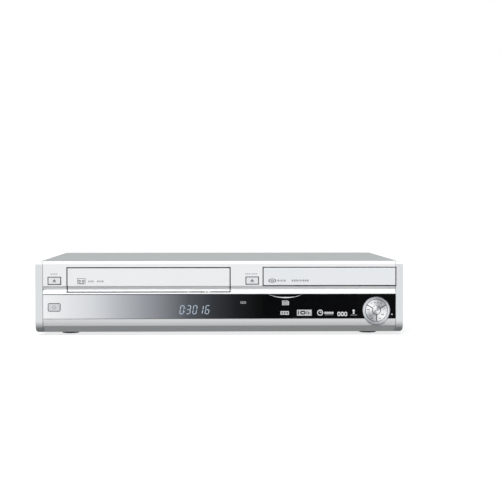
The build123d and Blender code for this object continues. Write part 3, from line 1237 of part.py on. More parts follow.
def make_drum():
    """Tilted helical-scan drum: fixed lower half on a wedge, turning upper half above the slit."""
    place = Pos(DECK_X, DRUM_Y, DRUM_Z) * Rot(DRUM_TILT, 0, 0)
    lower = place * (Cylinder(DRUM_R, DRUM_LOWER_H, align=(Align.CENTER, Align.CENTER, Align.MIN)))
    lower = lower + place * Pos(0, 0, DRUM_LOWER_H) * Cylinder(
        DRUM_SHAFT_R, DRUM_UPPER_H - 2, align=(Align.CENTER, Align.CENTER, Align.MIN))
    wedge = along_z(disc(DECK_X, DRUM_Y, DRUM_R - 6), DECK_TOP, DRUM_Z + 3)
    PARTS["drum_base"] = lower + wedge
    upper = Cylinder(DRUM_R, DRUM_UPPER_H, align=(Align.CENTER, Align.CENTER, Align.MIN))
    bore = Cylinder(DRUM_SHAFT_R + RUNNING, DRUM_UPPER_H + 2, align=(Align.CENTER, Align.CENTER, Align.MIN))
    upper = upper - Pos(0, 0, -1) * bore
    well = Cylinder(DRUM_R - 6, 3, align=(Align.CENTER, Align.CENTER, Align.MIN))
    upper = upper - Pos(0, 0, DRUM_UPPER_H - 3) * well
    notch = Box(4, 3, 3, align=(Align.CENTER, Align.CENTER, Align.MIN))
    for side in (-1, 1):
        upper = upper - Pos(side * (DRUM_R - 1), 0, -1) * notch
    PARTS["upper_drum"] = place * Pos(0, 0, DRUM_LOWER_H + DRUM_SLIT) * upper


def make_capstan():
    x = DECK_X + CAPSTAN_DX
    z1 = DECK_Z - DECK_RIM - 0.6
    wheel = along_z(disc(x, CAPSTAN_Y, FLYWHEEL_R), z1 - FLYWHEEL_H, z1)
    hollow = disc(x, CAPSTAN_Y, FLYWHEEL_R - 4) - disc(x, CAPSTAN_Y, CAPSTAN_HUB_R)
    wheel = wheel - along_z(hollow, z1 - FLYWHEEL_H - 1, z1 - 3)
    PARTS["capstan"] = wheel + along_z(disc(x, CAPSTAN_Y, CAPSTAN_R), z1 - 1, CAPSTAN_TOP_Z)
    stator = disc(x, CAPSTAN_Y, STATOR_R) - disc(x, CAPSTAN_Y, CAPSTAN_HUB_R + 0.4)
    PARTS["capstan_motor"] = along_z(stator, DECK_Z - STATOR_H, DECK_Z)


def make_reels():
    """Reel tables: a rim, a hub and six splines that enter the cassette."""
    for side, name in ((-1, "supply_reel"), (1, "take_up_reel")):
        x = DECK_X + side * REEL_SPREAD
        rim_top = DECK_TOP + REEL_RIM_H
        reel = along_z(disc(x, REEL_Y, REEL_R), DECK_TOP + 0.4, rim_top)
        reel = reel + along_z(disc(x, REEL_Y, REEL_HUB_R - 3), rim_top, REEL_TOP_Z)
        for i in range(6):
            spline = Pos(x, REEL_Y) * Rot(0, 0, 60 * i) * Pos(REEL_HUB_R - 3, 0) * Rectangle(5, 2.4)
            reel = reel + along_z(spline, rim_top, REEL_TOP_Z - 2)
        reel = reel - along_z(disc(x, REEL_Y, REEL_POST_R + RUNNING), DECK_Z, REEL_TOP_Z + 1)
        PARTS[name] = reel


def make_pinch_arm():
    px, py = pinch_pivot()
    rx, ry = pinch_rest()
    z0 = DECK_TOP + 2
    angle = 180 - PINCH_SWING
    bar = Pos((px + rx) / 2, (py + ry) / 2) * Rot(0, 0, angle) * SlotCenterToCenter(PINCH_ARM_L, 7)
    arm = along_z(bar, z0, z0 + 2)
    arm = arm + along_z(disc(px, py, PINCH_POST_R + 2), z0, z0 + PINCH_POST_L)
    arm = arm - along_z(disc(px, py, PINCH_POST_R + RUNNING), z0 - 1, z0 + PINCH_POST_L + 1)
    arm = arm + along_z(disc(rx, ry, PINCH_PIN_R), z0, z0 + PINCH_ROLLER_Z + PINCH_ROLLER_L + 2)
    PARTS["pinch_arm"] = arm
    roller = disc(rx, ry, PINCH_R) - disc(rx, ry, PINCH_PIN_R + RUNNING)
    PARTS["pinch_roller"] = along_z(roller, z0 + PINCH_ROLLER_Z, z0 + PINCH_ROLLER_Z + PINCH_ROLLER_L)


def make_tape_guides():
    """Flanged guide posts and the two fixed heads beside the drum."""
    base, top = DECK_TOP + GUIDE_BASE_H, DECK_TOP + GUIDE_POST_H
    pieces = []
    for dx, dy in GUIDE_AT:
        x, y = DECK_X + dx, DRUM_Y + dy
        post = along_z(disc(x, y, GUIDE_BASE_R), DECK_TOP, base)
        post = post + along_z(disc(x, y, GUIDE_POST_R), base, top)
        post = post + along_z(disc(x, y, GUIDE_FLANGE_R), base, base + 1.2)
        pieces.append(post + along_z(disc(x, y, GUIDE_FLANGE_R), top - 2, top))
    for dx, dy in HEAD_AT:
        x, y = DECK_X + dx, DRUM_Y + dy
        pieces.append(block(x - 5, x + 5, y - 4, y + 4, DECK_TOP, DECK_TOP + HEAD_H))
    PARTS["tape_guides"] = group(pieces)


def make_loading_motor():
    x, y0 = DECK_X + LOADING_DX, DRUM_Y + LOADING_DY
    y1 = y0 + LOADING_L
    z = DECK_TOP + LOADING_LIFT
    can = along_y(disc(x, z, LOADING_R), y0, y1)
    foot = block(x - LOADING_R, x + LOADING_R, y0 + 2, y1 - 2, DECK_TOP, z - 2)
    PARTS["loading_motor"] = can + foot + along_y(disc(x, z, WORM_R), y1, y1 + WORM_L)


def side_block(side, near, far, y0, y1, z0, z1):
    """Block on one side of the deck's middle, between two distances from it."""
    x0, x1 = sorted((DECK_X + side * near, DECK_X + side * far))
    return block(x0, x1, y0, y1, z0, z1)


def side_plate(sketch, side, near, far):
    """A (y, z) sketch extruded on one side of the deck's middle."""
    x0, x1 = sorted((DECK_X + side * near, DECK_X + side * far))
    return along_x(sketch, x0, x1)


def make_cassette_holder():
    """Sheet holder between two slides, which run in the side guides."""
    x0, x1 = DECK_X - HOLDER_HALF, DECK_X + HOLDER_HALF
    y0, y1 = HOLDER_FRONT, HOLDER_FRONT + HOLDER_LENGTH
    top = HOLDER_TOP_Z
    t = HOLDER_SHEET
    inside = rect(x0 + t, x1 - t, CASSETTE_Z, top - t)
    between_rails = rect(x0 + HOLDER_RAIL, x1 - HOLDER_RAIL, CASSETTE_Z - t - 1, CASSETTE_Z + 1)
    holder = along_y(rect(x0, x1, CASSETTE_Z - t, top) - inside - between_rails, y0, y1)
    pin_z = top - HOLDER_PIN_DROP
    pin_y = (y0 + HOLDER_PIN_IN, y1 - HOLDER_PIN_IN)
    guide = HOLDER_HALF + FIT
    for side in (-1, 1):
        # window in the top sheet and the stop behind the cassette
        holder = holder - side_block(side, 30, 76, y0 + 10, y1 - 12, top - 2, top + 1)
        holder = holder + side_block(side, 60, 80, y1 - t, y1, top - 9, top)
        for y in pin_y:
            pin = disc(y, pin_z, HOLDER_PIN_R)
            holder = holder + side_plate(pin, side, HOLDER_HALF - 0.5, guide + t)
    PARTS["cassette_holder"] = holder
    play = HOLDER_PIN_R + PIN_PLAY
    track = rect(y0, y1, SLIDE_Z0, SLIDE_Z1)
    for y in pin_y:
        track = track - rect(y - play, y + play, pin_z - HOLDER_DOWN - play, pin_z + play)
    slides = []
    for side in (-1, 1):
        slide = side_plate(track, side, guide, guide + t)
        for y in (y0 + SLIDE_PIN_IN, y1 - SLIDE_PIN_IN):
            pin = disc(y, SLIDE_PIN_Z, SLIDE_PIN_R)
            slide = slide + side_plate(pin, side, guide + t - 0.3, guide + 2 * t + 1.2)
        slides.append(slide)
    PARTS["holder_slides"] = group(slides)
    wall = guide + t + FIT
    play = SLIDE_PIN_R + TOUCH
    plate = rect(GUIDE_Y0, GUIDE_Y1, DECK_TOP, GUIDE_Z1)
    plate = plate - round_rect((GUIDE_Y0 + GUIDE_Y1) / 2, DECK_TOP + 20, 70, 24, 6)
    plate = plate - rect(y0 + SLIDE_PIN_IN - play, y1 - SLIDE_PIN_IN + HOLDER_IN + play,
                         SLIDE_PIN_Z - play, SLIDE_PIN_Z + play)
    guides = block(DECK_X - wall - t, DECK_X + wall + t, GUIDE_Y1 - GUIDE_BRIDGE, GUIDE_Y1,
                   GUIDE_Z1 - t, GUIDE_Z1)
    for side in (-1, 1):
        guides = guides + side_plate(plate, side, wall, wall + t)
    PARTS["cassette_guides"] = guides


# ---------------------------------------------------------------- disc drive
def drive_block(side, near, far, y0, y1, z0, z1):
    """Block on one side of the drive's middle, between two distances from it."""
    x0, x1 = sorted((DRIVE_X + side * near, DRIVE_X + side * far))
    return block(x0, x1, y0, y1, z0, z1)


def make_drive_case():
    x0, x1 = DRIVE_X - DRIVE_HALF, DRIVE_X + DRIVE_HALF
    top = DRIVE_Z1 - LID_T - TOUCH
    section = rect(x0, x1, DRIVE_Z0, top) - rect(x0 + SHEET, x1 - SHEET, DRIVE_Z0 + SHEET, DRIVE_Z1)
    case = along_y(section, DRIVE_Y0, DRIVE_Y1)
    case = case + block(x0, x1, DRIVE_Y1 - SHEET, DRIVE_Y1, DRIVE_Z0, top)
    # runners under the tray's side wings and stops over them
    near = TRAY_HALF + TRAY_CLEAR
    low = TRAY_Z0 - TOUCH
    high = TRAY_Z0 + TRAY_WING_T + TOUCH
    for side in (-1, 1):
        case = case + drive_block(side, near, DRIVE_HALF, DRIVE_Y0, DRIVE_Y1 - 20, low - RUNNER_T, low)
        for y in (DRIVE_Y0, DRIVE_Y0 + 30, DRIVE_Y1 - 40):
            case = case + drive_block(side, near, DRIVE_HALF, y, y + RUNNER_STOP_L,
                                      high, high + RUNNER_STOP_T)
    # post of the tray gear
    case = case + along_z(disc(PINION_X, PINION_Y, GEAR_POST_R), DRIVE_Z0, TRAY_Z0 - 0.8)
    case = case + along_z(disc(PINION_X, PINION_Y, GEAR_POST_R + 2), DRIVE_Z0, GEAR_Z0 - TOUCH)
    # shelf that carries the traverse frame
    near, far = TRAVERSE_HALF - 6, TRAVERSE_HALF + 2
    for side in (-1, 1):
        for y in (DISC_Y - 12, DISC_Y + TRAVERSE_BACK - SHELF_L - 2):
            case = case + drive_block(side, near, far, y, y + SHELF_L, DRIVE_Z0, TRAVERSE_Z - TOUCH)
    PARTS["disc_drive_case"] = case
    lid_z = DRIVE_Z1 - LID_T
    lid = along_z(rect(x0, x1, DRIVE_Y0, DRIVE_Y1) - disc(DRIVE_X, DISC_Y, LID_HOLE_R), lid_z, DRIVE_Z1)
    collar = disc(DRIVE_X, DISC_Y, LID_HOLE_R + 3) - disc(DRIVE_X, DISC_Y, LID_HOLE_R + 1)
    PARTS["disc_drive_lid"] = lid + along_z(collar, lid_z - 2, lid_z)
    # clamp that hangs in the lid's hole by its cap
    clamp = along_z(disc(DRIVE_X, DISC_Y, CLAMP_R), CLAMP_Z, CLAMP_Z + 2)
    clamp = clamp + along_z(disc(DRIVE_X, DISC_Y, CLAMP_NECK_R), CLAMP_Z, DRIVE_Z1 + 0.2)
    cap = along_z(disc(DRIVE_X, DISC_Y, CLAMP_CAP_R), DRIVE_Z1 + 0.1, DRIVE_Z1 + 0.9)
    PARTS["disc_clamp"] = clamp + cap


def rack_outline():
    """Plan view of the tray's rack: a back with straight-flanked teeth facing +X."""
    back_x = DRIVE_X - TRAY_HALF + RACK_INSET
    tip = RACK_LINE_X + MODULE
    root = RACK_LINE_X - DEDENDUM
    slope = math.tan(math.radians(PRESSURE_ANGLE))
    half_pitch_line = (PITCH / 2 - BACKLASH) / 2
    half_tip = half_pitch_line - MODULE * slope
    half_root = half_pitch_line + DEDENDUM * slope
    first = PINION_Y - 2 * PITCH
    count = int((TRAY_Y1 - 2 - first) / PITCH)
    outline = [(back_x, first - PITCH / 2)]
    for i in range(count):
        y = first + i * PITCH
        outline += [(root, y - half_root), (tip, y - half_tip), (tip, y + half_tip), (root, y + half_root)]
    outline.insert(1, (root, first - PITCH / 2))
    last = first + (count - 1) * PITCH + PITCH / 2
    outline += [(root, last), (back_x, last)]
    return outline


def involute_gear(teeth, module, bore):
    """Plan view of a spur gear with involute flanks, a tooth gap centred on the -X side."""
    pitch_r = teeth * module / 2
    base_r = pitch_r * math.cos(math.radians(PRESSURE_ANGLE))
    tip_r = pitch_r + module
    root_r = pitch_r - DEDENDUM
    inv = math.tan(math.radians(PRESSURE_ANGLE)) - math.radians(PRESSURE_ANGLE)
    half = (math.pi / 2 - BACKLASH / pitch_r) / teeth + inv
    points = []
    for i in range(teeth):
        centre = math.pi + math.pi / teeth + 2 * math.pi * i / teeth
        flank = []
        for k in range(5):
            r = max(base_r, root_r) + (tip_r - max(base_r, root_r)) * k / 4
            roll = math.acos(min(1.0, base_r / r))
            flank.append((r, half - (math.tan(roll) - roll)))
        foot = (root_r, flank[0][1] + 0.02)
        rising = [foot] + flank
        points += [(r, centre - a) for r, a in rising]
        points += [(r, centre + a) for r, a in reversed(rising)]
    face = polygon(*[(r * math.cos(a), r * math.sin(a)) for r, a in points])
    return face - Circle(bore)


def make_tray():
    x0, x1 = DRIVE_X - TRAY_HALF, DRIVE_X + TRAY_HALF
    outline = rect(x0, x1, TRAY_Y0, TRAY_Y1)
    outline = fillet([v for v in outline.vertices() if v.Y > TRAY_Y1 - 1], TRAY_CORNER_R)
    tray = along_z(outline, TRAY_Z0, TRAY_Z1)
    tray = tray - along_z(disc(DRIVE_X, DISC_Y, DISC_R), TRAY_FLOOR_Z, TRAY_Z1 + 1)
    tray = tray - along_z(disc(DRIVE_X, DISC_Y, DISC_SMALL_R), TRAY_INNER_Z, TRAY_Z1 + 1)
    slot = disc(DRIVE_X, DISC_Y, TRAY_SLOT_HALF)
    half = TRAY_SLOT_HALF + 3
    slot = slot + rect(DRIVE_X - half, DRIVE_X + half, DISC_Y, DISC_Y + TRAY_SLOT_L)
    tray = tray - along_z(slot, TRAY_Z0 - 1, TRAY_Z1 + 1)
    # finger notches beside the disc and hollow corners below
    notch = FINGER_NOTCH_HALF
    tray = tray - block(DRIVE_X - notch, DRIVE_X + notch, TRAY_Y0 + 1.8, DISC_Y, TRAY_FLOOR_Z, TRAY_Z1 + 1)
    under = rect(x0 + 12, x1 - 2, TRAY_Y0 + 2, TRAY_Y1 - 2) - disc(DRIVE_X, DISC_Y, DISC_R + 2)
    under = under - rect(DRIVE_X - 25, DRIVE_X + 25, TRAY_Y0, TRAY_Y1)
    tray = tray - along_z(under, TRAY_Z0 - 1, TRAY_Z1 - 2)
    for side in (-1, 1):
        tray = tray + drive_block(side, TRAY_HALF - 1, TRAY_HALF + TRAY_WING, DRIVE_Y0 + 4, TRAY_Y1 - 4,
                                  TRAY_Z0, TRAY_Z0 + TRAY_WING_T)
    tray = tray + along_z(polygon(*rack_outline()), TRAY_Z0 - RACK_DEPTH, TRAY_Z0)
    PARTS["disc_tray"] = tray
    plate = along_y(rect(FASCIA_X0, FASCIA_X1, FASCIA_Z0, FASCIA_Z1), FASCIA_Y, FASCIA_Y + FASCIA_T)
    rim = [e for e in plate.edges() if abs(e.center().Y - FASCIA_Y) < 0.01
           and (e.center().Z > FASCIA_Z1 - 0.1 or e.center().X < FASCIA_X0 + 0.1)]
    PARTS["tray_fascia"] = chamfer(rim, FASCIA_CHAMFER)


def make_tray_drive():
    """Pinion and pulley in one piece, belt and motor."""
    post = GEAR_POST_R + RUNNING
    pulley_top = GEAR_Z0 + PULLEY_H
    belt_z = GEAR_Z0 + (PULLEY_H - BELT_H) / 2
    gear = along_z(involute_gear(PINION_TEETH, MODULE, post), pulley_top, TRAY_Z0 - 1.0)
    gear = Pos(PINION_X, PINION_Y, 0) * gear
    floor_r = PULLEY_R - GROOVE_IN
    groove = make_face(Polyline(
        (post, GEAR_Z0), (PULLEY_R, GEAR_Z0), (PULLEY_R, belt_z - 0.6), (floor_r, belt_z),
        (floor_r, belt_z + BELT_H), (PULLEY_R, belt_z + BELT_H + 0.6), (PULLEY_R, pulley_top),
        (post, pulley_top), close=True))
    wheel = Pos(PINION_X, PINION_Y, 0) * revolve(Plane.XZ * groove, Axis.Z)
    PARTS["tray_gear"] = gear + wheel
    mx, my = PINION_X + MOTOR_DX, PINION_Y
    flats = rect(mx - MOTOR_FLAT_X, mx + MOTOR_FLAT_X, my - MOTOR_FLAT_Y, my + MOTOR_FLAT_Y)
    can = along_z(disc(mx, my, MOTOR_R) & flats, DRIVE_Z0 + SHEET, GEAR_Z0 - 1)
    PARTS["tray_motor"] = can + along_z(disc(mx, my, MOTOR_SHAFT_R), GEAR_Z0 - 1.5, pulley_top)
    small = disc(mx, my, MOTOR_PULLEY_R) - disc(mx, my, MOTOR_SHAFT_R + RUNNING)
    PARTS["motor_pulley"] = along_z(small, GEAR_Z0, pulley_top)
    big_r = floor_r + BELT_AIR
    small_r = MOTOR_PULLEY_R + BELT_AIR
    belt = belt_outline(big_r + BELT_T, small_r + BELT_T) - belt_outline(big_r, small_r)
    PARTS["tray_belt"] = along_z(belt, belt_z + 0.1, belt_z + BELT_H - 0.1)


def belt_outline(big_r, small_r):
    """Closed belt line round the two pulleys: two arcs joined by their outer tangents."""
    lean = math.acos((big_r - small_r) / MOTOR_DX)
    bx, sx = PINION_X, PINION_X + MOTOR_DX
    up = (math.cos(lean), math.sin(lean))
    a = (bx + big_r * up[0], PINION_Y + big_r * up[1])
    b = (bx + big_r * up[0], PINION_Y - big_r * up[1])
    c = (sx + small_r * up[0], PINION_Y - small_r * up[1])
    d = (sx + small_r * up[0], PINION_Y + small_r * up[1])
    return make_face([
        ThreePointArc(a, (bx - big_r, PINION_Y), b), Line(b, c),
        ThreePointArc(c, (sx + small_r, PINION_Y), d), Line(d, a)])


def make_traverse():
    """Lifting frame with the spindle motor, guide rods, turntable and optical sled."""
    y0, y1 = DISC_Y - TRAVERSE_FRONT, DISC_Y + TRAVERSE_BACK
    half = SLED_HALF_X + ROD_BLOCK_HALF
    plan = rect(DRIVE_X - TRAVERSE_HALF, DRIVE_X + TRAVERSE_HALF, y0, y1)
    plan = plan - rect(DRIVE_X - half, DRIVE_X + half, ROD_Y0, ROD_Y1)
    top = TRAVERSE_Z + TRAVERSE_T
    frame = along_z(plan, TRAVERSE_Z, top)
    sled = rect(DRIVE_X - SLED_HALF_X, DRIVE_X + SLED_HALF_X, SLED_Y - SLED_HALF_Y, SLED_Y + SLED_HALF_Y)
    sled = along_z(sled, TRAVERSE_Z + SLED_AIR, ROD_Z + ROD_COVER)
    rods = []
    for x in (DRIVE_X - ROD_SPREAD, DRIVE_X + ROD_SPREAD):
        x0, x1 = x - ROD_BLOCK_HALF, x + ROD_BLOCK_HALF
        for y in (ROD_Y0 - ROD_BLOCK_L, ROD_Y1):
            frame = frame + block(x0, x1, y, y + ROD_BLOCK_L, TRAVERSE_Z, ROD_Z + ROD_COVER)
        rods.append(along_y(disc(x, ROD_Z, ROD_R), ROD_Y0, ROD_Y1))
        bore = along_y(disc(x, ROD_Z, ROD_R + RUNNING), SLED_Y - SLED_HALF_Y - 1, SLED_Y + SLED_HALF_Y + 1)
        sled = sled - bore
    PARTS["traverse_frame"] = frame
    PARTS["guide_rods"] = group(rods)
    motor = along_z(disc(DRIVE_X, DISC_Y, SPINDLE_MOTOR_R), top, TURNTABLE_Z - 0.5)
    PARTS["spindle_motor"] = motor + along_z(disc(DRIVE_X, DISC_Y, SPINDLE_R), top, TURNTABLE_Z + 1)
    bore = SPINDLE_R + RUNNING
    face_z = TURNTABLE_Z + TURNTABLE_T
    table = make_face(Polyline(
        (bore, TURNTABLE_Z), (TURNTABLE_R, TURNTABLE_Z), (TURNTABLE_R, face_z), (HUB_R0, face_z),
        (HUB_R1, face_z + HUB_RISE), (bore, face_z + HUB_RISE), close=True))
    PARTS["turntable"] = Pos(DRIVE_X, DISC_Y, 0) * revolve(Plane.XZ * table, Axis.Z)
    lens_z = ROD_Z + ROD_COVER
    PARTS["optical_sled"] = sled + along_z(disc(DRIVE_X, SLED_Y - LENS_R, LENS_R), lens_z - 0.5, lens_z + 2.2)


def make_drive_brackets():
    """Bridge over the front sockets that the disc drive stands on, and the hard drive's tray."""
    t = BRIDGE_T
    x0, x1 = DRIVE_X - DRIVE_HALF, DRIVE_X + DRIVE_HALF
    y0, y1 = DRIVE_Y0 + BRIDGE_SET, DRIVE_Y1 - 4
    section = rect(x0, x1, FLOOR_Z, DRIVE_Z0) - rect(x0 + t, x1 - t, FLOOR_Z - 1, DRIVE_Z0 - t)
    section = section + rect(x0, x0 + BRIDGE_FOOT, FLOOR_Z, FLOOR_Z + t)
    section = section + rect(x1 - BRIDGE_FOOT, x1, FLOOR_Z, FLOOR_Z + t)
    hole = round_rect(DRIVE_X, (y0 + y1) / 2, BRIDGE_HOLE, BRIDGE_HOLE, 8)
    bridge = along_y(section, y0, y1) - along_z(hole, DRIVE_Z0 - 3, DRIVE_Z0 + 1)
    PARTS["drive_brackets"] = group([bridge, hard_drive_tray()])


def build():
    make_front_panel()
    make_end_caps()
    make_window()
    make_front_door()
    make_cassette_flap()
    make_buttons()
    make_key_cluster()
    make_control_board()
    make_front_sockets()
    make_chassis()
    make_top_cover()
    make_screws()
    make_rear_panel()
    make_feet()
    make_mains_inlet()
    make_scart_sockets()
    make_av_sockets()
    make_aerial_sockets()
    make_boards()
    make_hard_drive()
    make_fan()
    make_deck_base()
    make_drum()
    make_capstan()
    make_reels()
    make_pinch_arm()
    make_tape_guides()
    make_loading_motor()
    make_cassette_holder()
    make_drive_case()
    make_tray()
    make_tray_drive()
    make_traverse()
    make_drive_brackets()
    for name, shape in PARTS.items():
        export_step(shape, f"parts/{name}.step")


build()
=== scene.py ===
import json
import math

import bpy
from mathutils import Matrix, Vector


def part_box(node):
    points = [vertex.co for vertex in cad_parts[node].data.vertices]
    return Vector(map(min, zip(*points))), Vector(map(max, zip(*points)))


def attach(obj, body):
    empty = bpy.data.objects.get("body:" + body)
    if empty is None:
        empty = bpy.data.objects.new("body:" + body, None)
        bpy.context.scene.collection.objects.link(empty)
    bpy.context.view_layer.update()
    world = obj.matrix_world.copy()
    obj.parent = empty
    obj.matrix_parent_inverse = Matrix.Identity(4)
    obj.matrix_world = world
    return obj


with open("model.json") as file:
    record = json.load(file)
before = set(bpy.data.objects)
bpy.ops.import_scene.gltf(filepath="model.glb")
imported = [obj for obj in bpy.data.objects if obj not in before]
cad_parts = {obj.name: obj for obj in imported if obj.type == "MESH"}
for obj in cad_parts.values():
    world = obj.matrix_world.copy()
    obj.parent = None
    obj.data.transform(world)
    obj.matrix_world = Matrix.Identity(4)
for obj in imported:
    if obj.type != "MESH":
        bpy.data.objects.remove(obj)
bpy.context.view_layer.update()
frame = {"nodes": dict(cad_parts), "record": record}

MM = 0.001

# ---------------------------------------------------------------- places read from the frame
NODES = frame["nodes"]
MOUNTS = {mount["name"]: Vector(mount["pos_m"]) for mount in frame["record"]["mounts"]}


class Box:
    """Extents of a CAD node, in metres."""

    def __init__(self, node):
        low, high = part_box(node)
        self.x0, self.y0, self.z0 = low
        self.x1, self.y1, self.z1 = high
        self.x, self.z = (self.x0 + self.x1) / 2, (self.z0 + self.z1) / 2


panel = Box("front_panel")
window = Box("display_window")
door = Box("front_door")
flap = Box("cassette_flap")
fascia = Box("tray_fascia")
eject = Box("cassette_eject_button")
opener = Box("disc_open_button")
power = Box("power_button")
ring = Box("key_ring")
centre_key = Box("key_centre")

MARK_T = 0.04 * MM            # printed marks stand this proud of what they are printed on
FACE_Y = flap.y0              # flat upper face of the panel
FLAP_PIN_L = 2.8 * MM         # the flap's box takes in its hinge pins and ears
FLAP_H = 27.6 * MM
FLAP_X0, FLAP_X1 = flap.x0 + FLAP_PIN_L, flap.x1 - FLAP_PIN_L
FLAP_Z0, FLAP_Z1 = flap.z0, flap.z0 + FLAP_H
FLAP_GAP = 0.9 * MM
FASCIA_GAP = 0.8 * MM
BUTTON_GAP = 0.6 * MM
TOP_ROUND = 3.4 * MM          # panel's face to the end of its rounded top edge


# ---------------------------------------------------------------- material helpers
def grey(level):
    """Linear value of an sRGB grey from 0 to 255."""
    c = level / 255
    return c / 12.92 if c <= 0.04045 else ((c + 0.055) / 1.055) ** 2.4


def colour(red, green, blue):
    """Linear colour of sRGB values from 0 to 255."""
    return grey(red), grey(green), grey(blue), 1.0


class Finish:
    """A Principled material while its nodes are put together."""

    def __init__(self, name, **settings):
        self.material = bpy.data.materials.new(name)
        self.material.use_nodes = True
        self.tree = self.material.node_tree
        self.shader = self.tree.nodes["Principled BSDF"]
        for socket, value in settings.items():
            self.shader.inputs[socket.replace("_", " ").title().replace("Ior", "IOR")].default_value = value

    def node(self, kind, inputs=None, **settings):
        """Add a node with its settings and feed its sockets."""
        node = self.tree.nodes.new("ShaderNode" + kind)
        for key, value in settings.items():
            setattr(node, key, value)
        for key, value in (inputs or {}).items():
            self.feed(node.inputs[key], value)
        return node

    def feed(self, socket, value):
        """Link an output to the socket, or set its value."""
        if isinstance(value, bpy.types.NodeSocket):
            self.tree.links.new(value, socket)
        else:
            socket.default_value = value

    def to(self, socket, value):
        """Feed one of the shader's own sockets."""
        self.feed(self.shader.inputs[socket], value)

    def place(self):
        """Position on the piece, in metres."""
        return self.node("TexCoord").outputs["Object"]

    def axes(self):
        """The same position, axis by axis."""
        return self.node("SeparateXYZ", {0: self.place()}).outputs

    def math(self, operation, a, b=0.0, clamp=False):
        return self.node("Math", {0: a, 1: b}, operation=operation, use_clamp=clamp).outputs[0]

    def vector(self, operation, a, b=(0.0, 0.0, 0.0), output="Vector"):
        return self.node("VectorMath", {0: a, 1: b}, operation=operation).outputs[output]

    def from_axis(self, x, z):
        """Vector in x and z from an axis that runs along Y, in metres."""
        offset = self.vector("SUBTRACT", self.place(), (x, 0.0, z))
        return self.vector("MULTIPLY", offset, (1.0, 0.0, 1.0))

    def noise(self, size, detail=2.0, roughness=0.5, stretch=None):
        """Noise from 0 to 1 with features of the given size in metres."""
        where = self.place()
        if stretch:
            where = self.vector("MULTIPLY", where, stretch)
        return self.node("TexNoise", {"Vector": where, "Scale": 1 / size, "Detail": detail,
                                      "Roughness": roughness}).outputs["Fac"]

    def spread(self, value, low, high, from_low=0.3, from_high=0.7):
        """Map a value between two limits."""
        return self.node("MapRange", {0: value, 1: from_low, 2: from_high, 3: low, 4: high}).outputs[0]

    def mix(self, factor, a, b):
        """Colour between a (factor 0) and b (factor 1)."""
        node = self.node("Mix", data_type="RGBA")
        self.feed(node.inputs["Factor"], factor)
        self.feed(node.inputs[6], a)
        self.feed(node.inputs[7], b)
        return node.outputs[2]

    def ramp(self, value, stops):
        """Colour along a list of (position, colour) stops."""
        node = self.node("ValToRGB", {0: value})
        elements = node.color_ramp.elements
        elements[0].position, elements[0].color = stops[0]
        elements[1].position, elements[1].color = stops[-1]
        for position, tone in stops[1:-1]:
            elements.new(position).color = tone
        return node.outputs["Color"]

    def bump(self, height, depth, under=None):
        """Raise the surface by height (0 to 1) times depth in metres, on top of the bump under it."""
        inputs = {"Strength": 1.0, "Distance": depth, "Height": height}
        if under is not None:
            inputs["Normal"] = under
        normal = self.node("Bump", inputs).outputs["Normal"]
        self.feed(self.shader.inputs["Normal"], normal)
        return normal


def shade(tone, factor):
    """Colour made darker or lighter."""
    return tuple(channel * factor for channel in tone[:3]) + (1.0,)


# ---------------------------------------------------------------- materials of the case
# Painted shade: this dark colour goes on the walls of the seams and in the recess behind the window.
PAINTED_SHADE = colour(24, 25, 26)
SEAM_LAP = 0.2 * MM           # the seams' dark walls are found this far to either side of the gap
SEAM_FRONT = 0.35 * MM        # and from this far behind the panel's foremost plane
TOP_SHADE_LAP = 0.3 * MM         # the painted shade on the flat top reaches this far below the panel's top
RECESS_SHADE_LAP = 0.5 * MM         # the dark recess starts this far before the window's back


def around(box, gap):
    """Box of a node in x and z, with the gap round it."""
    return (box.x0, box.x1, box.z0, box.z1), gap


SEAMS = [((FLAP_X0, FLAP_X1, FLAP_Z0, FLAP_Z1), FLAP_GAP), around(fascia, FASCIA_GAP),
         around(eject, BUTTON_GAP), around(opener, BUTTON_GAP), around(power, BUTTON_GAP)]


def seam_shade_mask(m, seams, behind):
    """1 where shade is painted on the walls of the seams round parts in the panel: boxes in x and z with
    gaps.
    """
    axes = m.axes()
    total = 0.0
    for (x0, x1, z0, z1), gap in seams:
        past = []
        for axis, low, high in (("X", x0, x1), ("Z", z0, z1)):
            offset = m.math("ABSOLUTE", m.math("SUBTRACT", axes[axis], (low + high) / 2))
            past.append(m.math("SUBTRACT", offset, (high - low) / 2))
        outside = m.math("SUBTRACT", m.math("MAXIMUM", *past), gap / 2)
        on_wall = m.math("LESS_THAN", m.math("ABSOLUTE", outside), gap / 2 + SEAM_LAP)
        total = m.math("MAXIMUM", total, on_wall)
    return m.math("MULTIPLY", total, m.math("GREATER_THAN", axes["Y"], behind))


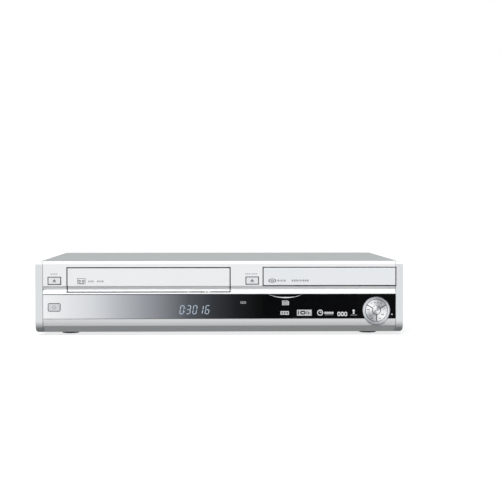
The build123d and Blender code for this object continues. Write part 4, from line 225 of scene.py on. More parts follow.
def silver_paint(name, tone, roughness=0.45, top_shade=None):
    """Silver painted moulding: fine metal flakes, faint clouding and a slight orange peel.

    Shade is painted dark on the walls of the seams round the parts in the panel. With a top_shade colour
    it is the front panel's: its flat top behind the rounded edge takes that colour as painted shade,
    and shade is painted dark in the recess behind the window.
    """
    m = Finish(name, metallic=0.03, specular_ior_level=0.16)
    flakes = m.noise(0.22 * MM, detail=1.0)
    clouds = m.noise(45 * MM, detail=3.0)
    base = m.mix(m.spread(flakes, 0.0, 1.0), shade(tone, 0.96), shade(tone, 1.04))
    base = m.mix(m.spread(clouds, 0.0, 0.05), base, shade(tone, 0.8))
    # painted shade: the flat top behind the rounded edge takes the given darker colour
    if top_shade:
        axes = m.axes()
        top = m.math("MULTIPLY", m.math("GREATER_THAN", axes["Y"], FACE_Y + TOP_ROUND),
                     m.math("GREATER_THAN", axes["Z"], panel.z1 - TOP_SHADE_LAP))
        base = m.mix(top, base, top_shade)
        # painted shade in the panel's recess behind the window
        recess = m.math("GREATER_THAN", axes["Y"], window.y1 - RECESS_SHADE_LAP)
        for way, level in (("GREATER_THAN", window.z0), ("LESS_THAN", window.z1)):
            recess = m.math("MULTIPLY", recess, m.math(way, axes["Z"], level))
        base = m.mix(recess, base, PAINTED_SHADE)
    # painted shade on the walls of the seams
    base = m.mix(seam_shade_mask(m, SEAMS, panel.y0 + SEAM_FRONT), base, PAINTED_SHADE)
    m.to("Base Color", base)
    m.to("Roughness", m.spread(flakes, roughness - 0.05, roughness + 0.05))
    peel = m.bump(m.noise(1.1 * MM, detail=2.0), 0.004 * MM)
    m.bump(flakes, 0.001 * MM, under=peel)
    return m.material


def coated_steel(name, tone):
    """Sheet steel with a fine, slightly rough stoved coating."""
    m = Finish(name, specular_ior_level=0.35)
    grains = m.noise(0.35 * MM, detail=2.0)
    clouds = m.noise(60 * MM, detail=4.0)
    base = m.mix(m.spread(grains, 0.0, 1.0), shade(tone, 0.93), shade(tone, 1.07))
    base = m.mix(m.spread(clouds, 0.0, 0.1), base, shade(tone, 0.75))
    m.to("Base Color", base)
    m.to("Roughness", m.spread(grains, 0.47, 0.63))
    m.bump(grains, 0.012 * MM)
    return m.material


def galvanised_steel(name, tone):
    """Bare zinc-coated sheet with its crystal spangle and rolling lines."""
    m = Finish(name, metallic=0.9)
    cells = m.node("TexVoronoi", {"Vector": m.place(), "Scale": 1 / (7 * MM)}).outputs["Color"]
    lines = m.noise(0.5 * MM, detail=2.0, stretch=(0.04, 1.0, 1.0))
    base = m.mix(m.spread(cells, 0.0, 1.0, 0.0, 1.0), shade(tone, 0.82), shade(tone, 1.1))
    base = m.mix(m.spread(lines, 0.0, 0.35), base, shade(tone, 0.7))
    m.to("Base Color", base)
    m.to("Roughness", m.spread(cells, 0.34, 0.5, 0.0, 1.0))
    m.bump(lines, 0.003 * MM)
    return m.material


def moulded_plastic(name, tone, roughness=0.5):
    """Plain moulded plastic with a spark-eroded grain."""
    m = Finish(name, specular_ior_level=0.4)
    grains = m.noise(0.3 * MM, detail=3.0)
    flow = m.noise(30 * MM, detail=2.0, stretch=(1.0, 0.3, 1.0))
    base = m.mix(m.spread(grains, 0.0, 1.0), shade(tone, 0.85), shade(tone, 1.12))
    base = m.mix(m.spread(flow, 0.0, 0.12), base, shade(tone, 1.3))
    m.to("Base Color", base)
    m.to("Roughness", m.spread(grains, roughness - 0.07, roughness + 0.07))
    m.bump(grains, 0.01 * MM)
    return m.material


def rubber(name):
    """Black rubber, a little dusty."""
    m = Finish(name, specular_ior_level=0.3)
    grains = m.noise(0.5 * MM, detail=4.0)
    dust = m.noise(6 * MM, detail=3.0)
    base = m.mix(m.spread(dust, 0.0, 0.5), colour(34, 34, 35), colour(52, 51, 50))
    m.to("Base Color", base)
    m.to("Roughness", m.spread(grains, 0.62, 0.85))
    m.bump(grains, 0.03 * MM)
    return m.material


# ---------------------------------------------------------------- window, door and keys
# Grey of the window's print at places along x in millimetres.
FADE = ((-206, 244), (-150, 219), (-121, 190), (-93, 162), (-37, 86), (-9, 55), (19, 29), (47, 6), (206, 3))
# Painted shade and painted sheen of the spun keys and ring, by the angle round their axis.
KEY_PAINTED_SHADE = colour(150, 153, 156)
KEY_PAINTED_SHEEN = colour(250, 251, 252)
RING_PAINTED_SHEEN = colour(214, 217, 220)


def window_print(name):
    """Clear plate printed behind with a fade from silver at the left to black at the right."""
    m = Finish(name, roughness=0.12, specular_ior_level=0.04)
    x0, x1 = FADE[0][0], FADE[-1][0]
    along = m.spread(m.axes()["X"], 0.0, 1.0, x0 * MM, x1 * MM)
    stops = []
    for x, level in FADE:
        cool = 12 * level * (255 - level) / 128 ** 2      # the middle of the fade is bluish
        stops.append(((x - x0) / (x1 - x0), colour(level - cool / 3, level, level + cool / 2)))
    flakes = m.noise(0.2 * MM, detail=1.0)
    faded = m.ramp(along, stops)
    m.to("Base Color", m.mix(m.spread(flakes, 0.0, 0.06), faded, m.mix(0.5, faded, colour(0, 0, 0))))
    m.bump(m.noise(22 * MM, detail=1.0), 0.002 * MM)
    return m.material


def gloss_black(name):
    """High-gloss black moulding, with the faint waviness of moulded gloss."""
    m = Finish(name, specular_ior_level=0.03)
    haze = m.noise(9 * MM, detail=4.0)
    m.to("Base Color", m.mix(m.spread(haze, 0.0, 1.0), colour(1, 1, 2), colour(5, 6, 8)))
    m.to("Roughness", m.spread(haze, 0.1, 0.18))
    m.bump(m.noise(22 * MM, detail=1.0), 0.002 * MM)
    return m.material


def spun_metal(name, dark, light, painted_sheen_turn=50.0):
    """Aluminium turned on a lathe.

    The grooves run round the key cluster's axis, and a two-lobed sheen about it is painted into the colour:
    painted highlight on two sides, painted shade between them.
    """
    m = Finish(name, metallic=1.0, anisotropic=0.6)
    offset = m.from_axis(ring.x, ring.z)
    radius = m.vector("LENGTH", offset, output="Value")
    m.to("Tangent", m.vector("NORMALIZE", m.vector("CROSS_PRODUCT", offset, (0.0, 1.0, 0.0))))
    across = m.node("SeparateXYZ", {0: offset}).outputs
    angle = m.math("ARCTAN2", across["Z"], across["X"])
    turned = m.math("SUBTRACT", angle, math.radians(painted_sheen_turn))
    lobes = m.math("COSINE", m.math("MULTIPLY", turned, 2.0))
    depth = m.math("MULTIPLY", radius, 1 / (0.12 * MM))
    grooves = m.node("TexNoise", {"W": depth, "Scale": 1.0, "Detail": 2.0},
                     noise_dimensions="1D").outputs["Fac"]
    streaks = m.noise(1.6 * MM, detail=3.0)
    # painted sheen: two bright lobes and two shaded ones round the axis
    painted_sheen = m.math("ADD", m.spread(lobes, 1.0, 0.0, -1.0, 1.0), m.spread(streaks, -0.25, 0.25), clamp=True)
    base = m.mix(painted_sheen, dark, light)
    m.to("Base Color", m.mix(m.spread(grooves, 0.0, 0.3), base, shade(dark, 0.9)))
    m.to("Roughness", m.spread(grooves, 0.2, 0.34))
    m.bump(grooves, 0.006 * MM)
    return m.material


# ---------------------------------------------------------------- inner and rear materials
BOARD_FACE = 1.65 * MM        # just past the laminate, from a board's far side
PHONO_SHELL_R = 4.3 * MM      # the shell is plated between these two radii
PHONO_BORE_R = 3.3 * MM
PHONO_INSULATOR_R = 3.5 * MM
PHONO_CONTACT_R = 2.5 * MM


def turned_steel(name, tone=(0.55, 0.55, 0.56, 1.0), roughness=0.22):
    """Bright steel with fine lines from the lathe."""
    m = Finish(name, metallic=1.0)
    lines = m.noise(0.15 * MM, detail=2.0, stretch=(0.2, 0.2, 1.0))
    m.to("Base Color", m.mix(m.spread(lines, 0.0, 1.0), shade(tone, 0.85), shade(tone, 1.1)))
    m.to("Roughness", m.spread(lines, roughness - 0.06, roughness + 0.08))
    m.bump(lines, 0.002 * MM)
    return m.material


def cast_metal(name):
    """Die-cast aluminium: grey skin with fine pits."""
    m = Finish(name, metallic=0.85)
    skin = m.noise(0.9 * MM, detail=5.0, roughness=0.6)
    stains = m.noise(25 * MM, detail=3.0)
    base = m.mix(m.spread(skin, 0.0, 1.0), (0.3, 0.3, 0.31, 1.0), (0.46, 0.46, 0.47, 1.0))
    m.to("Base Color", m.mix(m.spread(stains, 0.0, 0.3), base, (0.22, 0.22, 0.22, 1.0)))
    m.to("Roughness", m.spread(skin, 0.45, 0.7))
    m.bump(skin, 0.03 * MM)
    return m.material


LAMINATE_GREEN = (colour(16, 84, 44), colour(20, 96, 50), colour(54, 132, 72))
LAMINATE_BLACK = (colour(13, 15, 15), colour(17, 19, 19), colour(30, 33, 32))


def circuit_board(name, axis, level, above, laminate=LAMINATE_GREEN):
    """Laminate with copper tracks, and dark components past its face at the given level."""
    m = Finish(name, specular_ior_level=0.45)
    tracks = m.node("TexBrick", {"Vector": m.place(), "Scale": 1.0, "Brick Width": 9 * MM,
                                 "Row Height": 2.2 * MM, "Mortar Size": 0.35 * MM, "Color1": laminate[0],
                                 "Color2": laminate[1], "Mortar": laminate[2]}).outputs["Color"]
    cells = m.node("TexVoronoi", {"Vector": m.place(), "Scale": 1 / (24 * MM)}).outputs["Color"]
    parts = m.ramp(m.spread(cells, 0.0, 1.0, 0.0, 1.0),
                   [(0.0, colour(26, 26, 28)), (0.45, colour(40, 42, 46)), (0.6, colour(30, 38, 70)),
                    (1.0, colour(150, 150, 152))])
    past = m.math("GREATER_THAN" if above else "LESS_THAN", m.axes()[axis], level)
    m.to("Base Color", m.mix(past, tracks, parts))
    grains = m.noise(0.6 * MM, detail=3.0)
    m.to("Roughness", m.spread(grains, 0.3, 0.5))
    m.bump(grains, 0.01 * MM)
    return m.material


def socket_block(name, sockets):
    """Sockets in a black block: each has a nickel shell round an insulator of its own colour."""
    m = Finish(name, specular_ior_level=0.45)
    grains = m.noise(0.4 * MM, detail=3.0)
    base = m.mix(m.spread(grains, 0.0, 1.0), colour(24, 24, 26), colour(36, 36, 38))
    metal = 0.0
    for (x, z), tone in sockets:
        radius = m.vector("LENGTH", m.from_axis(x, z), output="Value")
        inside = m.math("LESS_THAN", radius, PHONO_INSULATOR_R)
        shell = m.math("MULTIPLY", m.math("LESS_THAN", radius, PHONO_SHELL_R),
                       m.math("GREATER_THAN", radius, PHONO_BORE_R))
        plated = m.math("MAXIMUM", shell, m.math("LESS_THAN", radius, PHONO_CONTACT_R))
        base = m.mix(plated, m.mix(inside, base, tone), colour(205, 202, 196))
        metal = m.math("MAXIMUM", metal, plated)
    m.to("Base Color", base)
    m.to("Metallic", metal)
    m.to("Roughness", m.spread(grains, 0.28, 0.42))
    m.bump(grains, 0.006 * MM)
    return m.material


def nickel(name):
    """Nickel plate of socket shells."""
    m = Finish(name, metallic=1.0)
    cloud = m.noise(4 * MM, detail=4.0)
    m.to("Base Color", m.mix(m.spread(cloud, 0.0, 1.0), colour(186, 182, 174), colour(212, 209, 203)))
    m.to("Roughness", m.spread(cloud, 0.2, 0.36))
    m.bump(m.noise(0.3 * MM), 0.002 * MM)
    return m.material


def dark_glass(name):
    """Face of the fluorescent display: smoked glass over a fine filament grid."""
    m = Finish(name, coat_weight=1.0, coat_roughness=0.03, roughness=0.2)
    grid = m.noise(0.4 * MM, detail=0.0, stretch=(1.0, 1.0, 0.02))
    m.to("Base Color", m.mix(m.spread(grid, 0.0, 1.0), colour(20, 24, 26), colour(38, 44, 46)))
    m.bump(grid, 0.003 * MM)
    return m.material


def ink(name, tone):
    """Screen-printed ink."""
    m = Finish(name, specular_ior_level=0.4)
    grains = m.noise(0.12 * MM, detail=2.0)
    m.to("Base Color", m.mix(m.spread(grains, 0.0, 1.0), shade(tone, 0.93), shade(tone, 1.05)))
    m.to("Roughness", m.spread(grains, 0.35, 0.5))
    m.bump(grains, 0.003 * MM)
    return m.material


def lit_segments(name):
    """Fluorescent segments seen through the smoked window."""
    m = Finish(name, coat_weight=0.6, coat_roughness=0.04, roughness=0.3)
    grid = m.noise(0.35 * MM, detail=1.0, stretch=(1.0, 1.0, 0.1))
    tone = m.mix(m.spread(grid, 0.0, 1.0), colour(148, 164, 184), colour(188, 200, 214))
    m.to("Base Color", tone)
    m.to("Emission Color", tone)
    m.shader.inputs["Emission Strength"].default_value = 0.15
    return m.material


# ---------------------------------------------------------------- finishes for the CAD nodes
SILVER = colour(236, 237, 238)
CAP_SILVER = colour(221, 224, 225)
COVER_GREY = colour(156, 160, 160)

# Finishes by the frame's material slots, then those of single nodes.
SLOTS = {
    "panel_silver": silver_paint("panel_silver_paint", SILVER),
    "cap_silver": silver_paint("cap_silver_paint", CAP_SILVER, roughness=0.4),
    "button_silver": silver_paint("button_silver_paint", colour(228, 229, 231), roughness=0.35),
    "cover_grey": coated_steel("cover_grey_coating", COVER_GREY),
    "zinc_steel": galvanised_steel("galvanised_steel", (0.55, 0.56, 0.56, 1.0)),
    "window_print": window_print("window_fade"),
    "door_black": gloss_black("door_gloss_black"),
    "key_metal": spun_metal("spun_aluminium", KEY_PAINTED_SHADE, KEY_PAINTED_SHEEN),
    "rubber_black": rubber("foot_rubber"),
    "black_plastic": moulded_plastic("black_moulding", colour(38, 38, 40)),
    "grey_plastic": moulded_plastic("grey_moulding", colour(112, 114, 116)),
    "white_plastic": moulded_plastic("white_moulding", colour(214, 212, 206), roughness=0.4),
    "board_green": circuit_board("main_circuit_board", "Z", Box("main_board").z0 + BOARD_FACE, True),
    "socket_metal": nickel("nickel_plate"),
    "display_glass": dark_glass("display_glass_face"),
    "cast_aluminium": cast_metal("die_cast_aluminium"),
    "shaft_steel": turned_steel("turned_steel_shaft"),
    "screw_steel": turned_steel("plated_screw_steel", (0.5, 0.5, 0.49, 1.0), 0.32),
}
INSULATORS = (colour(196, 60, 48), colour(232, 230, 222), colour(216, 178, 40))
REAR_SOCKETS = [((MOUNTS[name].x, MOUNTS[name].z), INSULATORS[i // 2])
                for i, name in enumerate(f"phono_{k}" for k in range(1, 7))]
NODE_FINISHES = {
    "key_ring": spun_metal("spun_ring", KEY_PAINTED_SHADE, RING_PAINTED_SHEEN, 70.0),
    # its flat top has painted shade in the cover's grey
    "front_panel": silver_paint("front_panel_paint", SILVER, top_shade=COVER_GREY),
    "tray_fascia": silver_paint("fascia_paint", colour(231, 233, 235)),
    "power_button": silver_paint("power_button_paint", colour(208, 210, 213), roughness=0.35),
    "av_sockets": socket_block("rear_socket_block", REAR_SOCKETS),
    "control_board": circuit_board("control_circuit_board", "Y", Box("control_board").y1 - BOARD_FACE, False,
                                   LAMINATE_BLACK),
}


def dress_cad_nodes():
    """Give every CAD node its finish: its own, or that of its material slot."""
    for name, node in NODES.items():
        slot = node.data.materials[0].name.split(".")[0]
        node.material_slots[0].material = NODE_FINISHES.get(name, SLOTS[slot])


# ---------------------------------------------------------------- flat marks
# Their outlines are drawn in x and z, in millimetres.
CORNER_STEPS = 6
ARC_STEPS = 24
DASH_GAP = 0.7


def middle_of(box):
    """Middle of a CAD node in x and z, in millimetres."""
    return box.x / MM, box.z / MM


def circle(x, z, radius, steps=40):
    """Circle about a place, as a polygon."""
    turn = 2 * math.pi / steps
    return [(x + radius * math.cos(i * turn), z + radius * math.sin(i * turn)) for i in range(steps)]


def bar(x0, x1, z0, z1):
    """Plain box between its sides."""
    return [(x0, z0), (x1, z0), (x1, z1), (x0, z1)]


def bars(count, step, x, width, z0, z1):
    """Row of equal upright bars, the left side of the first one at x."""
    return [bar(x + step * i, x + step * i + width, z0, z1) for i in range(count)]


def rounded(x, z, width, height, radius):
    """Box with rounded corners about its middle."""
    points = []
    for k, (sx, sz) in enumerate(((1, 1), (-1, 1), (-1, -1), (1, -1))):
        cx, cz = x + sx * (width / 2 - radius), z + sz * (height / 2 - radius)
        for i in range(CORNER_STEPS + 1):
            a = math.pi / 2 * (k + i / CORNER_STEPS)
            points.append((cx + radius * math.cos(a), cz + radius * math.sin(a)))
    return points


def arc_band(x, z, radius, width, start, end):
    """Part of a ring between two angles in degrees."""
    angles = [math.radians(start + (end - start) * i / ARC_STEPS) for i in range(ARC_STEPS + 1)]
    outer, inner = ([(x + r * math.cos(a), z + r * math.sin(a)) for a in angles]
                    for r in (radius + width / 2, radius - width / 2))
    return outer + inner[::-1]


def frame_of(x0, x1, z0, z1, line):
    """Outline of a box as two nested outlines."""
    return [bar(x0, x1, z0, z1), bar(x0 + line, x1 - line, z0 + line, z1 - line)]


def ring_of(x, z, radius, line):
    """Ring about a place as two nested circles."""
    return [circle(x, z, radius), circle(x, z, radius - line)]


def triangle(x, z, size, way=1):
    """Arrow head that points to the right, or to the left with way -1."""
    return [(x - way * size / 2, z - size / 2), (x + way * size / 2, z), (x - way * size / 2, z + size / 2)]


def dashes(x, z, height, *widths):
    """Row of short bars that stands where the machine has small lettering."""
    outlines = []
    for width in widths:
        outlines.append(bar(x, x + width, z - height / 2, z + height / 2))
        x += width + DASH_GAP
    return outlines


def print_marks(name, outlines, face_y, material, body, follow=None):
    """Ink of the outlines, nested ones as holes, on a face at face_y (metres) that looks towards -Y.

    follow(x, z) gives how many millimetres the face falls back there.
    """
    curve = bpy.data.curves.new(name + "_outline", "CURVE")
    curve.dimensions = "2D"
    curve.fill_mode = "BOTH"
    curve.extrude = MARK_T / 2
    for outline in outlines:
        spline = curve.splines.new("POLY")
        spline.points.add(len(outline) - 1)
        for point, (x, z) in zip(spline.points, outline):
            point.co = (x * MM, z * MM, 0.0, 1.0)
        spline.use_cyclic_u = True
    drawing = bpy.data.objects.new(name + "_outline", curve)
    bpy.context.scene.collection.objects.link(drawing)
    bpy.context.view_layer.update()
    graph = bpy.context.evaluated_depsgraph_get()
    mesh = bpy.data.meshes.new_from_object(drawing.evaluated_get(graph))
    bpy.data.objects.remove(drawing)
    mesh.name = name
    upright = Matrix.Rotation(math.pi / 2, 4, "X")
    mesh.transform(Matrix.Translation((0.0, face_y - MARK_T / 2, 0.0)) @ upright)
    if follow:
        for vertex in mesh.vertices:
            vertex.co.y += follow(vertex.co.x / MM, vertex.co.z / MM) * MM
    mesh.materials.clear()
    mesh.materials.append(material)
    piece = bpy.data.objects.new(name, mesh)
    bpy.context.scene.collection.objects.link(piece)
    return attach(piece, body)


INK_DARK = ink("ink_dark_grey", colour(96, 98, 100))
INK_GREY = ink("ink_mid_grey", colour(150, 152, 154))
INK_LIGHT = ink("ink_light_grey", colour(178, 180, 182))
INK_PALE = ink("ink_pale_grey", colour(196, 198, 200))
INK_WHITE = ink("ink_white", colour(232, 234, 236))
SEGMENTS = lit_segments("display_segments")


# ---------------------------------------------------------------- signs of the buttons
EJECT_HALF_W = 2.1


def eject_sign(x, z):
    """Triangle over a bar."""
    return [[(x - EJECT_HALF_W, z - 0.5), (x + EJECT_HALF_W, z - 0.5), (x, z + 2.0)],
            bar(x - EJECT_HALF_W, x + EJECT_HALF_W, z - 1.7, z - 1.0)]


def power_sign(x, z):
    """Open ring with a bar in its gap."""
    return [arc_band(x, z, 1.9, 0.55, 120, 420), bar(x - 0.28, x + 0.28, z + 0.2, z + 2.6)]


def make_button_marks():
    """Signs on the eject, open and power buttons."""
    print_marks("eject_sign", eject_sign(*middle_of(eject)), eject.y0, INK_DARK, "cassette_eject_button")
    print_marks("open_sign", eject_sign(*middle_of(opener)), opener.y0, INK_DARK, "disc_open_button")
    print_marks("power_sign", power_sign(*middle_of(power)), power.y0, INK_GREY, "power_button")


# ---------------------------------------------------------------- digits of the display
# Ends of the seven segments, in digit widths and half heights.
SEGMENT_ENDS = {"a": ((0, 2), (1, 2)), "b": ((1, 2), (1, 1)), "c": ((1, 1), (1, 0)), "d": ((0, 0), (1, 0)),
                "e": ((0, 1), (0, 0)), "f": ((0, 2), (0, 1)), "g": ((0, 1), (1, 1))}
DIGITS = {"0": "abcdef", "1": "bc", "3": "abcdg", "6": "acdefg"}
DIGIT_W, DIGIT_H, DIGIT_LINE = 4.1, 9.6, 0.85
DIGIT_LEAN = 0.16
DIGIT_Z = 25.9
DIGIT_PLACES = (("0", -47.0), ("3", -39.3), ("0", -31.9), ("1", -24.6), ("6", -17.4))
COLON_X, COLON_R = -41.9, 0.5
COLON_DOTS = ((0.6, 2.4), (1.3, 6.6))


def digit_outlines(char, x, z):
    """One seven-segment digit that leans to the right, its lower left corner at (x, z)."""
    outlines = []
    for segment in DIGITS[char]:
        (ax, az), (bx, bz) = SEGMENT_ENDS[segment]
        start = Vector((ax * DIGIT_W, az * DIGIT_H / 2))
        end = Vector((bx * DIGIT_W, bz * DIGIT_H / 2))
        along = (end - start).normalized() * DIGIT_LINE
        side = Vector((-along.y, along.x)) / 2
        start, end = start + along * 0.3, end - along * 0.3
        tip = along / 2
        shape = [start, start + tip + side, end - tip + side, end, end - tip - side, start + tip - side]
        outlines.append([(x + p.x + p.y * DIGIT_LEAN, z + p.y) for p in shape])
    return outlines


def make_display():
    """The counter's digits and the colon between them."""
    outlines = []
    for char, x in DIGIT_PLACES:
        outlines += digit_outlines(char, x, DIGIT_Z)
    for dx, dz in COLON_DOTS:
        outlines.append(circle(COLON_X + dx, DIGIT_Z + dz, COLON_R, 12))
    print_marks("display_digits", outlines, window.y0, SEGMENTS, "chassis")


# ---------------------------------------------------------------- plain signs on the flap, tray and panel
FLAP_SIGNS_Z = 64.2
TRAY_SIGNS_Z = 64.7
LEGENDS_Z = 72.6


def cassette_sign(x, z, width, height):
    """Tape cassette: an outlined shell, two reels and the window between them."""
    line = 0.55
    reel = height * 0.24
    outlines = frame_of(x - width / 2, x + width / 2, z - height / 2, z + height / 2, line)
    for side in (-1, 1):
        outlines += ring_of(x + side * width * 0.23, z, reel, line * 1.6)
    outlines.append(bar(x - width * 0.3, x + width * 0.3, z - height / 2 + line, z - height * 0.34))
    return outlines


def disc_sign(x, z, radius):
    """Disc seen at a slant: an ellipse with its hub."""
    flat = 0.52
    outlines = []
    for factor in (1.0, 0.72, 0.4, 0.18):
        outlines.append([(px, z + (pz - z) * flat) for px, pz in circle(x, z, radius * factor)])
    return outlines


def make_panel_signs():
    """Tape and disc signs with bars beside them, and bars over the two open buttons."""
    x, z = FLAP_X0 / MM, FLAP_SIGNS_Z
    marks = cassette_sign(x + 16.2, z, 9.6, 6.8)
    print_marks("flap_cassette_sign", marks, FACE_Y, INK_DARK, "cassette_flap")
    marks = dashes(x + 24.4, z - 0.2, 2.0, 1.5, 0.6, 1.5, 0.6)
    marks += dashes(x + 34.6, z - 0.2, 2.0, 1.8, 0.6, 1.2, 1.6)
    print_marks("flap_small_signs", marks, FACE_Y, INK_GREY, "cassette_flap")
    x, z = fascia.x0 / MM, TRAY_SIGNS_Z
    marks = disc_sign(x + 10.4, z, 4.6)
    print_marks("tray_disc_sign", marks, fascia.y0, INK_DARK, "disc_tray")
    marks = dashes(x + 16.4, z, 2.2, 2.0, 0.7, 1.6, 0.7, 1.8)
    marks += dashes(x + 33.2, z, 2.2, 1.9, 1.9, 1.9, 0.7, 1.4, 0.7, 1.9, 1.9, 1.9)
    print_marks("tray_small_signs", marks, fascia.y0, INK_GREY, "disc_tray")
    marks = dashes(eject.x / MM - 4.3, LEGENDS_Z, 1.5, 1.4, 1.4, 1.4, 1.4)
    marks += dashes(opener.x / MM - 8.2, LEGENDS_Z, 1.5, 1.5, 1.5, 1.5, 0.6, 1.5, 1.5, 1.5)
    print_marks("button_legends", marks, FACE_Y, INK_LIGHT, "chassis")


# ---------------------------------------------------------------- plain signs on the door and window
CARD_X, CARD_Z = 77.0, 38.6
DOOR_ROW_Z = 27.0             # middle of the row along the door's foot
CLOCK_X = 117.6
LOOPS_X = (139.6, 143.6, 147.6)
MAST_X = 157.0


def card_sign(x, z):
    """Memory card with a cut corner, its contacts and a label line."""
    shell = [(x - 4.0, z - 2.7), (x + 4.0, z - 2.7), (x + 4.0, z + 1.5), (x + 2.6, z + 2.7),
             (x - 4.0, z + 2.7)]
    label = bar(x - 3.1, x + 3.1, z - 1.7, z - 1.0)
    return [shell] + bars(4, 1.5, x - 3.1, 0.8, z + 0.2, z + 2.0) + [label]


def wide_tile(z):
    """Tile with an upright, a flat ring and three bars that get shorter."""
    tile = [bar(90.4, 107.6, z - 3.5, z + 3.4), bar(91.6, 92.6, z - 2.5, z + 2.4)]
    tile += [rounded(97.4, z, 6.4, 4.4, 2.1), rounded(97.4, z, 3.6, 1.8, 0.8)]
    return tile + [bar(101.7 + 1.8 * i, 102.5 + 1.8 * i, z - 2.0, z + 2.0 - 0.9 * i) for i in range(3)]


def clock_sign(x, z):
    """Clock face with its two hands, and five bars beside it."""
    hands = [bar(x - 0.35, x + 0.35, z, z + 2.0), bar(x + 0.5, x + 1.9, z - 0.35, z + 0.35)]
    return ring_of(x, z, 3.5, 0.9) + hands + bars(5, 2.2, x + 5.2, 1.5, z - 1.4, z + 0.9)


def loop_signs(z):
    """Three upright loops."""
    marks = []
    for x in LOOPS_X:
        marks += [rounded(x, z - 1.6, 3.5, 5.0, 1.4), rounded(x, z - 1.6, 1.7, 3.0, 0.6)]
    return marks


def mast_sign(x, z):
    """Ball on a tapered foot."""
    foot = [(x - 1.1, z - 1.4), (x + 1.1, z - 1.4), (x + 0.35, z + 1.4), (x - 0.35, z + 1.4)]
    return [circle(x, z + 2.2, 1.3, 24), foot]


def make_door_signs():
    """Row of plain tiles and symbols along the foot of the door, and a memory card above them."""
    z = DOOR_ROW_Z
    tile = [bar(71.0, 81.0, z - 2.4, z + 1.9)] + bars(3, 2.9, 72.3, 1.6, z - 1.1, z + 0.6)
    signs = (("door_card_sign", card_sign(CARD_X, CARD_Z), INK_PALE),
             ("door_tile_sign", tile, INK_PALE),
             ("door_wide_tile", wide_tile(z), INK_PALE),
             ("door_clock_sign", clock_sign(CLOCK_X, z), INK_WHITE),
             ("door_clock_rule", [bar(CLOCK_X + 5.2, CLOCK_X + 15.5, z - 2.8, z - 2.3)], INK_GREY),
             ("door_loop_signs", loop_signs(z), INK_WHITE),
             ("door_mast_sign", mast_sign(MAST_X, z), INK_WHITE),
             ("door_mast_rule", [bar(MAST_X - 4.0, MAST_X + 4.0, z - 3.2, z - 2.6)], INK_GREY))
    for name, marks, material in signs:
        print_marks(name, marks, door.y0, material, "front_door")


def make_window_signs():
    """Drive sign beside the display, and the standby dot at the right."""
    marks = [rounded(27.4, 39.0, 6.6, 2.6, 0.6)] + bars(3, 1.9, 25.0, 1.0, 38.3, 39.7)
    print_marks("drive_sign", marks, window.y0, INK_GREY, "chassis")
    print_marks("standby_dot", [circle(201.9, 24.8, 0.85, 24)], window.y0, INK_PALE, "chassis")


# ---------------------------------------------------------------- painted highlight: crescent on the door's finger scoop
SCOOP_X, SCOOP_Z, SCOOP_R = 77.0, 93.0, 48.8
SCOOP_BEVEL_H, SCOOP_BEVEL_D = 1.17, 1.3
HIGHLIGHT_HALF_W, HIGHLIGHT_STEPS = 20.3, 28
HIGHLIGHT_LAP = 0.02


def scoop_edge(x):
    """Height of the scoop's lower edge."""
    return SCOOP_Z - math.sqrt(SCOOP_R ** 2 - (x - SCOOP_X) ** 2)


def scoop_bevel(x, z):
    """How far the bevel falls back at a place."""
    return (z - scoop_edge(x)) * SCOOP_BEVEL_D / SCOOP_BEVEL_H


def make_scoop_highlight():
    """Painted highlight: a bright crescent of white ink on the bevel."""
    lower, upper = [], []
    for i in range(HIGHLIGHT_STEPS + 1):
        u = -1 + 2 * i / HIGHLIGHT_STEPS
        x = SCOOP_X + HIGHLIGHT_HALF_W * u
        lower.append((x, scoop_edge(x)))
        upper.append((x, scoop_edge(x) + SCOOP_BEVEL_H * (1 - u * u) + HIGHLIGHT_LAP))
    # painted highlight in white ink
    print_marks("door_scoop_highlight", [lower + upper[::-1]], door.y0, INK_WHITE, "front_door", scoop_bevel)


# ---------------------------------------------------------------- signs of the key cluster
KEY_IN_R, KEY_OUT_R, KEY_CONE = 5.1, 12.6, 0.5
KEY_X, KEY_Z = middle_of(ring)


def key_cone(x, z):
    """How far the sector keys' faces fall back at a place."""
    return KEY_CONE * (math.hypot(x - KEY_X, z - KEY_Z) - KEY_IN_R) / (KEY_OUT_R - KEY_IN_R)


def make_key_signs():
    """Small play, stop, pause and skip signs on the keys."""
    x, z, size = KEY_X, KEY_Z, 1.9
    top = [triangle(x - 1.6, z + 9.0, size)] + bars(2, 1.1, x + 0.6, 0.6, z + 8.1, z + 9.9)
    top += [bar(x - 6.8, x - 5.6, z + 7.9, z + 9.0), circle(x + 5.4, z + 8.4, 0.8, 20)]
    left = [triangle(x - 10.6, z + 0.9, size, -1), triangle(x - 9.0, z + 0.9, size, -1),
            bar(x - 6.2, x - 4.5, z - 10.0, z - 8.4), circle(x - 7.6, z - 6.4, 0.7, 20)]
    right = [triangle(x + 6.6, z - 4.8, size), triangle(x + 8.3, z - 4.8, size),
             bar(x + 3.6, x + 5.0, z - 10.2, z - 8.9)]
    for marks, body in ((top, "key_up"), (left, "key_left"), (right, "key_right")):
        print_marks(body + "_signs", marks, ring.y0, INK_DARK, body, key_cone)
    centre = bars(2, 2.8, x - 2.4, 2.0, z - 0.5, z + 0.6)
    print_marks("key_centre_sign", centre, centre_key.y0, INK_GREY, "key_centre")


dress_cad_nodes()
make_button_marks()
make_display()
make_panel_signs()
make_door_signs()
make_window_signs()
make_scoop_highlight()
make_key_signs()


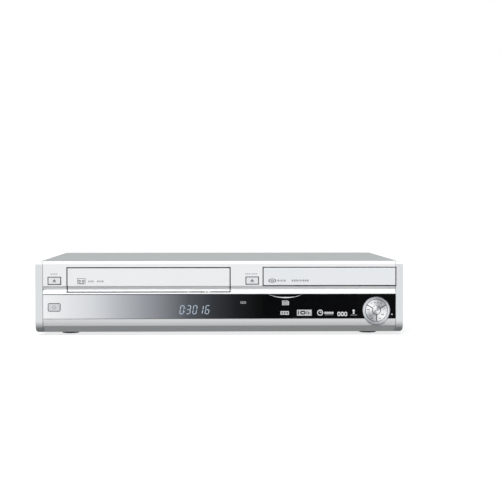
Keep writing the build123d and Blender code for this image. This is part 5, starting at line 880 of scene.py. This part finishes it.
# ---------------------------------------------------------------- floor, light and camera
FLOOR_REACH = 6.0
FLOOR_DULL = (0.08, 0.085, 0.085, 1.0)     # what the floor sends back to the light
FLOOR_PAPER = (0.34, 0.34, 0.34, 1.0)      # what the eye sees of it, with its glow
FLOOR_GLOW = 0.74
ROOM_TINT = (0.93, 0.97, 1.0, 1.0)
ROOM_LIGHT = 0.22
WHITE = (1.0, 1.0, 1.0, 1.0)
SKY_POWER = 3.45
SKY_FROM = (-0.24, -1.38, 1.43)
SKY_ANGLE = 38.0
STRIP_POWER = 3.0
STRIP_SIZE = (0.3, 1.4)
STRIP_TARGET = (0.0, -0.1, 0.05)
STRIPS = (("strip_left", (-1.6, -1.1, 0.7)), ("strip_right", (1.6, -1.2, 0.7)))
CAMERA_PLACE = (-0.0102, -1.90, 0.1525)
CAMERA_YAW, CAMERA_PITCH = 1.508, 1.720    # degrees to the right and down
CAMERA_LENS, CAMERA_SENSOR = 106.67, 36.0  # millimetres


def seen_rays(tree):
    """1 where the eye looks, straight or through metal and glass, and 0 for the light itself."""
    path = tree.nodes.new("ShaderNodeLightPath")
    total = path.outputs["Is Camera Ray"]
    for kind in ("Is Glossy Ray", "Is Transmission Ray"):
        either = tree.nodes.new("ShaderNodeMath")
        either.operation = "MAXIMUM"
        tree.links.new(total, either.inputs[0])
        tree.links.new(path.outputs[kind], either.inputs[1])
        total = either.outputs[0]
    return total


def choose_shader(tree, factor, unseen, seen, output_kind):
    """Output of the tree: the unseen shader for light, the seen one for the eye."""
    choose = tree.nodes.new("ShaderNodeMixShader")
    tree.links.new(factor, choose.inputs[0])
    tree.links.new(unseen.outputs[0], choose.inputs[1])
    tree.links.new(seen.outputs[0], choose.inputs[2])
    out = tree.nodes.new(output_kind)
    tree.links.new(choose.outputs[0], out.inputs["Surface"])


def empty_tree(owner):
    """Cleared node tree of a material or world."""
    owner.use_nodes = True
    owner.node_tree.nodes.clear()
    return owner.node_tree


def make_floor():
    """Pale floor: white to the eye, where the object's shadow still shows, and grey to the light."""
    mesh = bpy.data.meshes.new("floor")
    corners = [(x * FLOOR_REACH, y * FLOOR_REACH, 0) for x, y in ((-1, -1), (1, -1), (1, 1), (-1, 1))]
    mesh.from_pydata(corners, [], [(0, 1, 2, 3)])
    floor = bpy.data.objects.new("floor", mesh)
    bpy.context.scene.collection.objects.link(floor)
    material = bpy.data.materials.new("floor_paper")
    tree = empty_tree(material)
    dull, paper = (tree.nodes.new("ShaderNodeBsdfDiffuse") for _ in range(2))
    dull.inputs["Color"].default_value = FLOOR_DULL
    paper.inputs["Color"].default_value = FLOOR_PAPER
    glow = tree.nodes.new("ShaderNodeEmission")
    glow.inputs["Strength"].default_value = FLOOR_GLOW
    both = tree.nodes.new("ShaderNodeAddShader")
    tree.links.new(paper.outputs[0], both.inputs[0])
    tree.links.new(glow.outputs[0], both.inputs[1])
    choose_shader(tree, seen_rays(tree), dull, both, "ShaderNodeOutputMaterial")
    mesh.materials.append(material)


def make_world():
    """White to the eye, a soft grey room to the light."""
    world = bpy.data.worlds.new("studio")
    bpy.context.scene.world = world
    tree = empty_tree(world)
    room, white = (tree.nodes.new("ShaderNodeBackground") for _ in range(2))
    room.inputs["Color"].default_value = ROOM_TINT
    room.inputs["Strength"].default_value = ROOM_LIGHT
    white.inputs["Color"].default_value = WHITE
    white.inputs["Strength"].default_value = 1.0
    choose_shader(tree, seen_rays(tree), room, white, "ShaderNodeOutputWorld")


def aim(lamp, place, target):
    """Put a lamp into the scene, turned to its target."""
    lamp.location = place
    lamp.rotation_euler = (Vector(target) - Vector(place)).to_track_quat("-Z", "Y").to_euler()
    bpy.context.scene.collection.objects.link(lamp)


def make_sky_panel():
    """Wide, even studio light from the front and above, a little from the left."""
    light = bpy.data.lights.new("sky_panel", "SUN")
    light.angle = math.radians(SKY_ANGLE)
    light.energy = SKY_POWER
    aim(bpy.data.objects.new("sky_panel", light), SKY_FROM, (0.0, 0.0, 0.0))


def make_strips():
    """Soft upright lamps at both sides, which light the end caps and the key ring."""
    for name, place in STRIPS:
        light = bpy.data.lights.new(name, "AREA")
        light.shape = "RECTANGLE"
        light.size, light.size_y = STRIP_SIZE
        light.energy = STRIP_POWER
        aim(bpy.data.objects.new(name, light), place, STRIP_TARGET)


def make_camera():
    """Camera of the photograph: nearly along +Y, turned a little right and down."""
    data = bpy.data.cameras.new("camera")
    data.lens = CAMERA_LENS
    data.sensor_width = CAMERA_SENSOR
    camera = bpy.data.objects.new("camera", data)
    camera.location = CAMERA_PLACE
    camera.rotation_euler = (math.radians(90.0 - CAMERA_PITCH), 0.0, -math.radians(CAMERA_YAW))
    bpy.context.scene.collection.objects.link(camera)
    bpy.context.scene.camera = camera


make_floor()
make_world()
make_sky_panel()
make_strips()
make_camera()
bpy.context.scene.view_settings.view_transform = "Standard"
